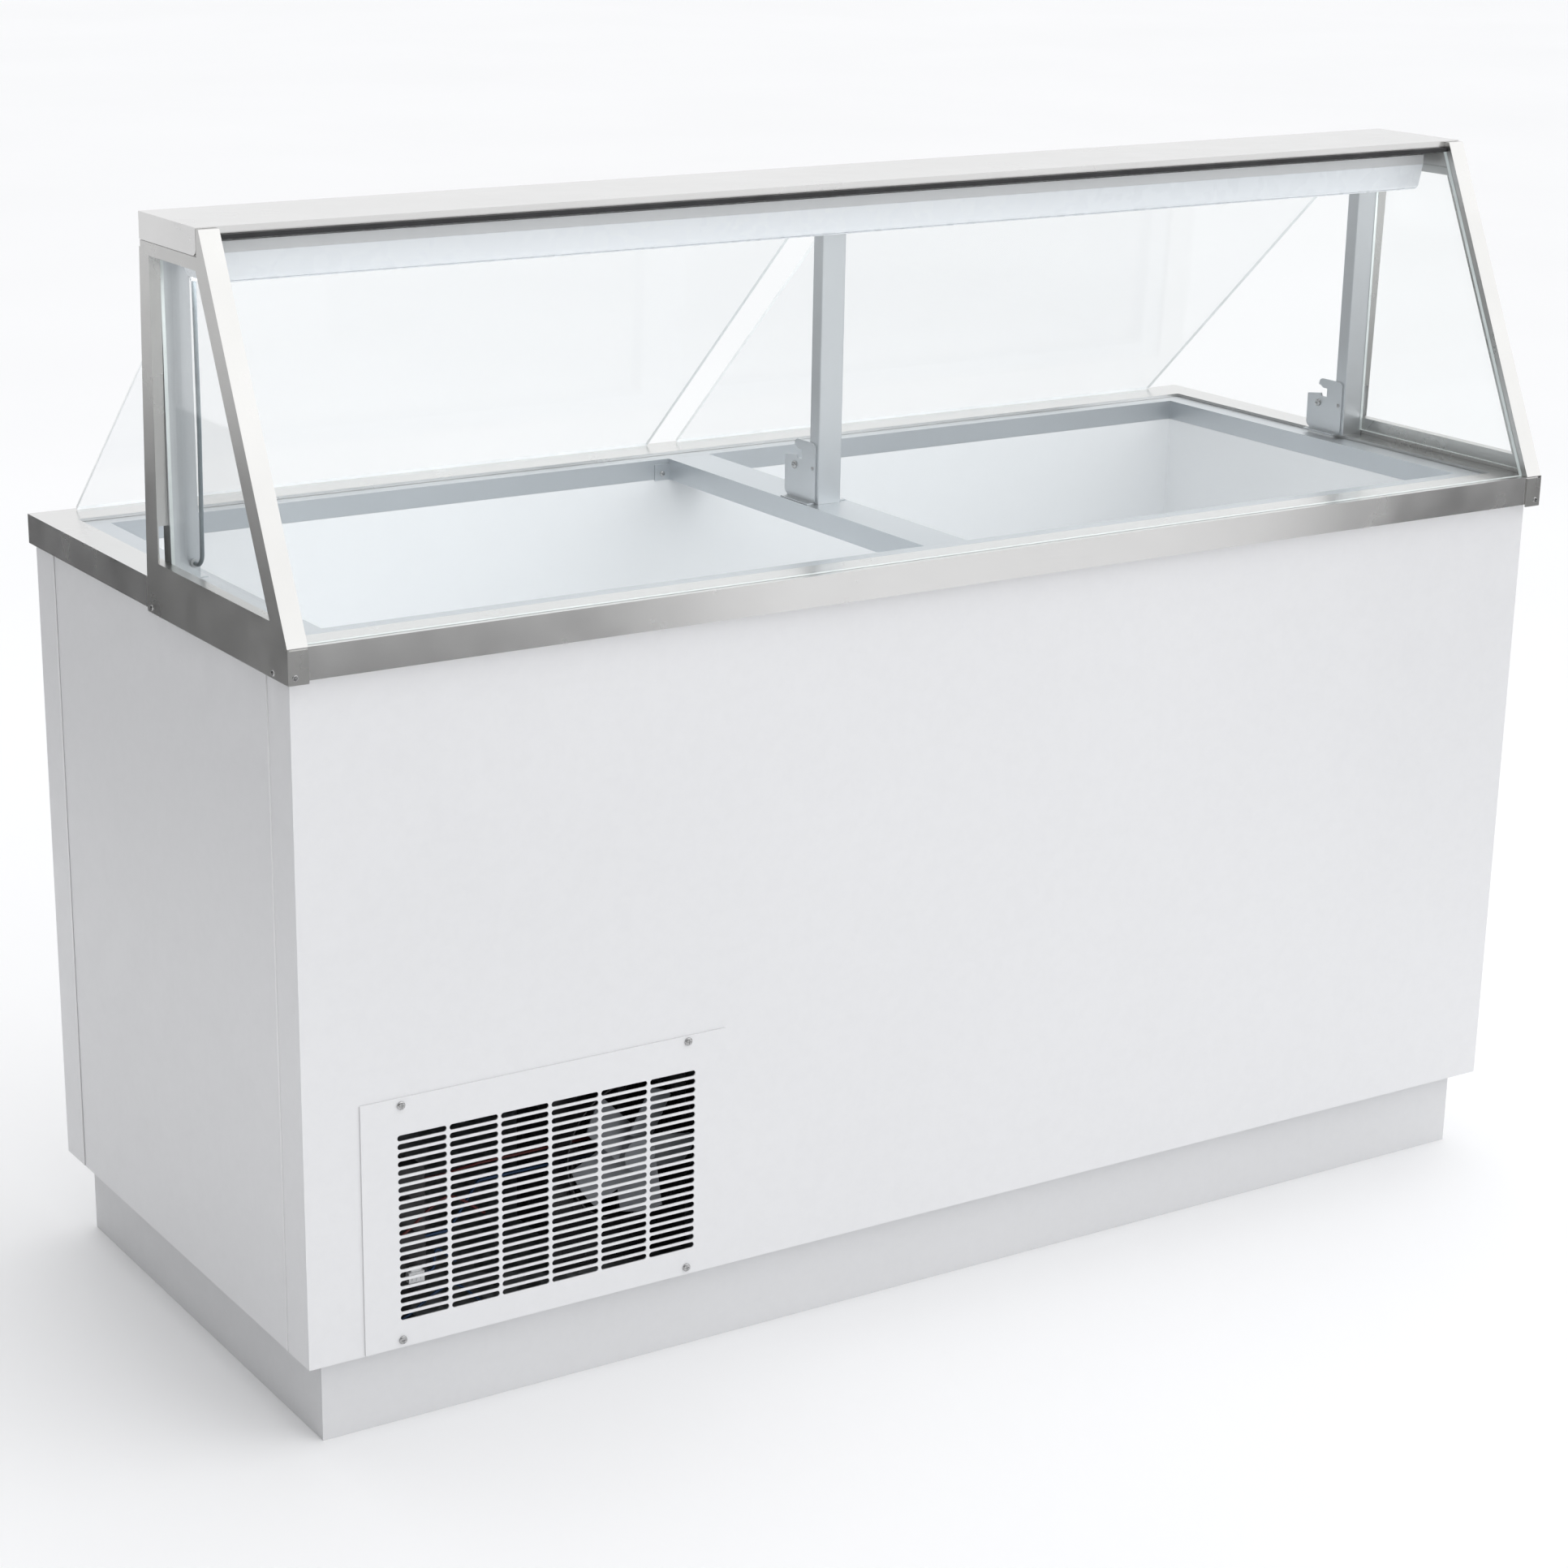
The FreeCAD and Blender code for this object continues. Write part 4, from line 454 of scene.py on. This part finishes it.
def add_pane_edges():
    """A thin polished band round the rim of every clear sheet."""
    for node, body, finish in CLEAR_SHEETS:
        mesh = bmesh.new()
        mesh.from_mesh(nodes[node].data)
        bmesh.ops.remove_doubles(mesh, verts=mesh.verts, dist=WELD)
        sheet = pane_faces(mesh)
        facing = max(sheet, key=lambda face: face.calc_area()).normal.copy()
        rim = {face for face in sheet if abs(face.normal.dot(facing)) < EDGE_ON}
        bmesh.ops.delete(mesh, geom=[face for face in mesh.faces if face not in rim], context="FACES")
        bmesh.ops.solidify(mesh, geom=mesh.faces[:], thickness=-RIM_THICKNESS)
        bmesh.ops.recalc_face_normals(mesh, faces=mesh.faces)
        add_piece(node + "_rim", mesh, materials[finish], body)


def block(mesh, centre, size, bevel):
    """A bevelled box added to `mesh`."""
    placed = Matrix.Translation(centre) @ Matrix.Diagonal((*size, 1.0))
    made = bmesh.ops.create_cube(mesh, size=1.0, matrix=placed)
    edges = {edge for vert in made["verts"] for edge in vert.link_edges}
    bmesh.ops.bevel(mesh, geom=list(edges), offset=bevel, segments=2, affect="EDGES", profile=0.6)


TUBE_SIDES = 10
SPAN_STEPS = 10                      # rings between one point and the next


def tube(mesh, points, radius):
    """A smooth round tube through `points`, closed at both ends."""
    path = []
    ends = [points[0] * 2 - points[1]] + points + [points[-1] * 2 - points[-2]]
    for a, b, c, d in zip(ends, ends[1:], ends[2:], ends[3:]):
        for step in range(SPAN_STEPS):
            u = step / SPAN_STEPS
            path.append(0.5 * (2 * b + (c - a) * u + (2 * a - 5 * b + 4 * c - d) * u ** 2
                               + (3 * b - a - 3 * c + d) * u ** 3))
    path.append(points[-1])
    side = Vector((0, 0, 1))
    rings = []
    for index, point in enumerate(path):
        along = (path[min(index + 1, len(path) - 1)] - path[max(index - 1, 0)]).normalized()
        side = (side - along * side.dot(along)).normalized()
        other = along.cross(side)
        turns = (math.tau * k / TUBE_SIDES for k in range(TUBE_SIDES))
        rings.append([mesh.verts.new(point + (side * math.cos(a) + other * math.sin(a)) * radius)
                      for a in turns])
    for first, second in zip(rings, rings[1:]):
        for k in range(TUBE_SIDES):
            after = (k + 1) % TUBE_SIDES
            mesh.faces.new((first[k], first[after], second[after], second[k]))
    mesh.faces.new(rings[0][::-1])
    mesh.faces.new(rings[-1])
    for face in mesh.faces:
        face.smooth = len(face.verts) == 4


PLUG_COUNT = 3
BOX_GAP = 1 * MM                     # in front of the junction box, where the wiring is measured from
PLUG_FORWARD = 5 * MM                # from there to the plugs' centres
PLUG_INSET, PLUG_RISE = 30 * MM, 18 * MM    # first plug's centre, from the box's lower left corner
PLUG_SHIFT, PLUG_PITCH = 34 * MM, 52 * MM   # every other plug stands right, each stands higher
PLUG, PLUG_BEVEL = (20 * MM, 9 * MM, 13 * MM), 0.9 * MM
CAP, CAP_BEVEL, CAP_RISE = (13 * MM, 6 * MM, 5 * MM), 0.7 * MM, 8.5 * MM
RIB, RIB_BEVEL = (1.4 * MM, 1.2 * MM, 10 * MM), 0.3 * MM
RIB_PITCH, RIB_FORWARD = 5.5 * MM, 4.8 * MM
LEAD_RADIUS = 1.5 * MM
LEAD_EXIT = Vector((14, 2, 3)) * MM
LEADS = (                            # name, finish, plug, and two points in mm from the lower right corner
    ("bay_lead_blue", "wire_blue", 0, (30, 14, 38), (74, 22, 4)),
    ("bay_lead_blue_high", "wire_blue", 1, (8, 2, 92), (44, 26, 60)),
    ("bay_lead_red", "wire_red", 2, (26, 10, 150), (82, 26, 112)),
)


def add_bay_wiring():
    """Plug-in connectors and short leads beside the junction box, seen through the vent."""
    low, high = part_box("electrical_box")
    front = low.y - BOX_GAP
    plugs = [Vector((low.x + PLUG_INSET + PLUG_SHIFT * (k % 2), front - PLUG_FORWARD,
                     low.z + PLUG_RISE + PLUG_PITCH * k)) for k in range(PLUG_COUNT)]
    blocks = bmesh.new()
    for plug in plugs:
        block(blocks, plug, PLUG, PLUG_BEVEL)
        block(blocks, plug + Vector((0, 0, CAP_RISE)), CAP, CAP_BEVEL)
        for k in (-1, 0, 1):
            block(blocks, plug + Vector((RIB_PITCH * k, -RIB_FORWARD, 0)), RIB, RIB_BEVEL)
    add_piece("bay_connectors", blocks, materials["white_plastic"], "cabinet")

    corner = Vector((high.x, front, low.z))
    for name, finish, index, middle, end in LEADS:
        lead = bmesh.new()
        start = plugs[index] + Vector((PLUG[0] / 2, 0, 0))
        points = [start, start + LEAD_EXIT, corner + Vector(middle) * MM, corner + Vector(end) * MM]
        tube(lead, points, LEAD_RADIUS)
        add_piece(name, lead, materials[finish], "cabinet")


POINTER_WIDTH, POINTER_DEPTH = 1.8 * MM, 1.0 * MM
POINTER_BEVEL = 0.3 * MM
POINTER_SINK = 0.1 * MM              # its middle, behind the knob's face
POINTER_LENGTH, POINTER_OFFSET = 0.6, 0.55  # in knob radii: its length, and its middle from the knob's


def add_knob_pointer():
    """A raised pointer line on the thermostat knob's face."""
    low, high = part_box("thermostat_knob")
    middle, reach = (low + high) / 2, (high.z - low.z) / 2
    centre = Vector((middle.x, high.y - POINTER_SINK, middle.z + POINTER_OFFSET * reach))
    pointer = bmesh.new()
    block(pointer, centre, (POINTER_WIDTH, POINTER_DEPTH, POINTER_LENGTH * reach), POINTER_BEVEL)
    add_piece("knob_pointer", pointer, materials["white_plastic"], "thermostat_knob")


HEM_RADIUS = 1.4 * MM
HEM_STAND = 0.7                      # how far it stands out, in its radii
HEM_STEPS = 6
HEM_END_GAP = 1 * MM                 # short of the panel's top and foot


def add_hems():
    """The rounded raw edge where the front and rear panels' wraps end on the cabinet's sides."""
    for node, wrap_end in (("front_panel", 1), ("rear_panel", 0)):
        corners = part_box(node)
        y = corners[wrap_end].y
        ends = (corners[0].z + HEM_END_GAP, corners[1].z - HEM_END_GAP)
        hem = bmesh.new()
        for face_x, out in ((corners[0].x, -1), (corners[1].x, 1)):
            rows = []
            for k in range(HEM_STEPS + 1):
                a = math.pi * k / HEM_STEPS
                x = face_x + out * HEM_STAND * HEM_RADIUS * math.sin(a)
                rows.append([hem.verts.new((x, y + HEM_RADIUS * math.cos(a), z)) for z in ends])
            for first, second in zip(rows, rows[1:]):
                hem.faces.new((first[0], first[1], second[1], second[0])).smooth = True
            hem.faces.new([row[0] for row in rows])
            hem.faces.new([row[1] for row in rows][::-1])
            hem.faces.new((rows[0][0], rows[-1][0], rows[-1][1], rows[0][1]))
        bmesh.ops.recalc_face_normals(hem, faces=hem.faces)
        # the hem's lighter paint is a painted highlight
        add_piece(node + "_hem", hem, materials["hem_highlight_paint"], "cabinet")


# ---- floor and flags --------------------------------------------------------------------------
def stage_plane(name, corners, material):
    """A flat four-cornered piece of the studio, which isn't part of the cabinet."""
    mesh = bmesh.new()
    mesh.faces.new([mesh.verts.new(corner) for corner in corners])
    data = bpy.data.meshes.new(name)
    mesh.to_mesh(data)
    mesh.free()
    plane = bpy.data.objects.new(name, data)
    data.materials.append(material)
    bpy.context.scene.collection.objects.link(plane)
    return plane


FLOOR_REACH = 60.0
FLOOR_LEVEL = -0.2 * MM


def add_floor():
    """A pale matt floor, too wide for the photograph's viewpoint to see its edge."""
    s = Surface("floor_paint")
    s.colour(s.ramp(s.noise(0.6, detail=2.0), (0.90, 0.90, 0.905), (0.92, 0.92, 0.925)))
    s.rough(s.noise(6), 0.6, 0.7)
    s.set(Specular_IOR_Level=0.2, Emission_Color=(1, 1, 1, 1), Emission_Strength=0.05)
    signs = ((-1, -1), (1, -1), (1, 1), (-1, 1))
    corners = [(x * FLOOR_REACH, y * FLOOR_REACH, FLOOR_LEVEL) for x, y in signs]
    stage_plane("floor", corners, s.material)


FELTS = {"grey": 0.26, "dark": 0.05}
FLAGS = (                            # name, felt, both ends on the floor, height
    ("flag_front_left", "grey", (-1.15, -1.4), (0.22, -1.4), 0.72),
    ("flag_front_right", "dark", (1.50, -1.4), (4.5, -1.4), 0.72),
    ("flag_left", "dark", (-1.7, 0.7), (-1.7, 3.6), 0.74),
)


def add_flags():
    """Cards that only reflections see, as a studio's flags: they put contrast in the steel."""
    felts = {}
    for tone, shade in FELTS.items():
        s = Surface("flag_felt_" + tone)
        s.colour(s.ramp(s.noise(3), (shade,) * 3, (shade * 1.2,) * 3))
        s.set(Roughness=1.0, Specular_IOR_Level=0.0)
        felts[tone] = s.material
    for name, tone, start, end, height in FLAGS:
        corners = [(*start, 0.0), (*end, 0.0), (*end, height), (*start, height)]
        card = stage_plane(name, corners, felts[tone])
        card.visible_camera = card.visible_diffuse = card.visible_shadow = False
        card.visible_transmission = card.visible_volume_scatter = False


# ---- the whole scene --------------------------------------------------------------------------
add_camera()
add_lights()
add_sky()
dress_nodes()
add_pane_edges()
add_bay_wiring()
add_knob_pointer()
add_hems()
add_flags()
add_floor()
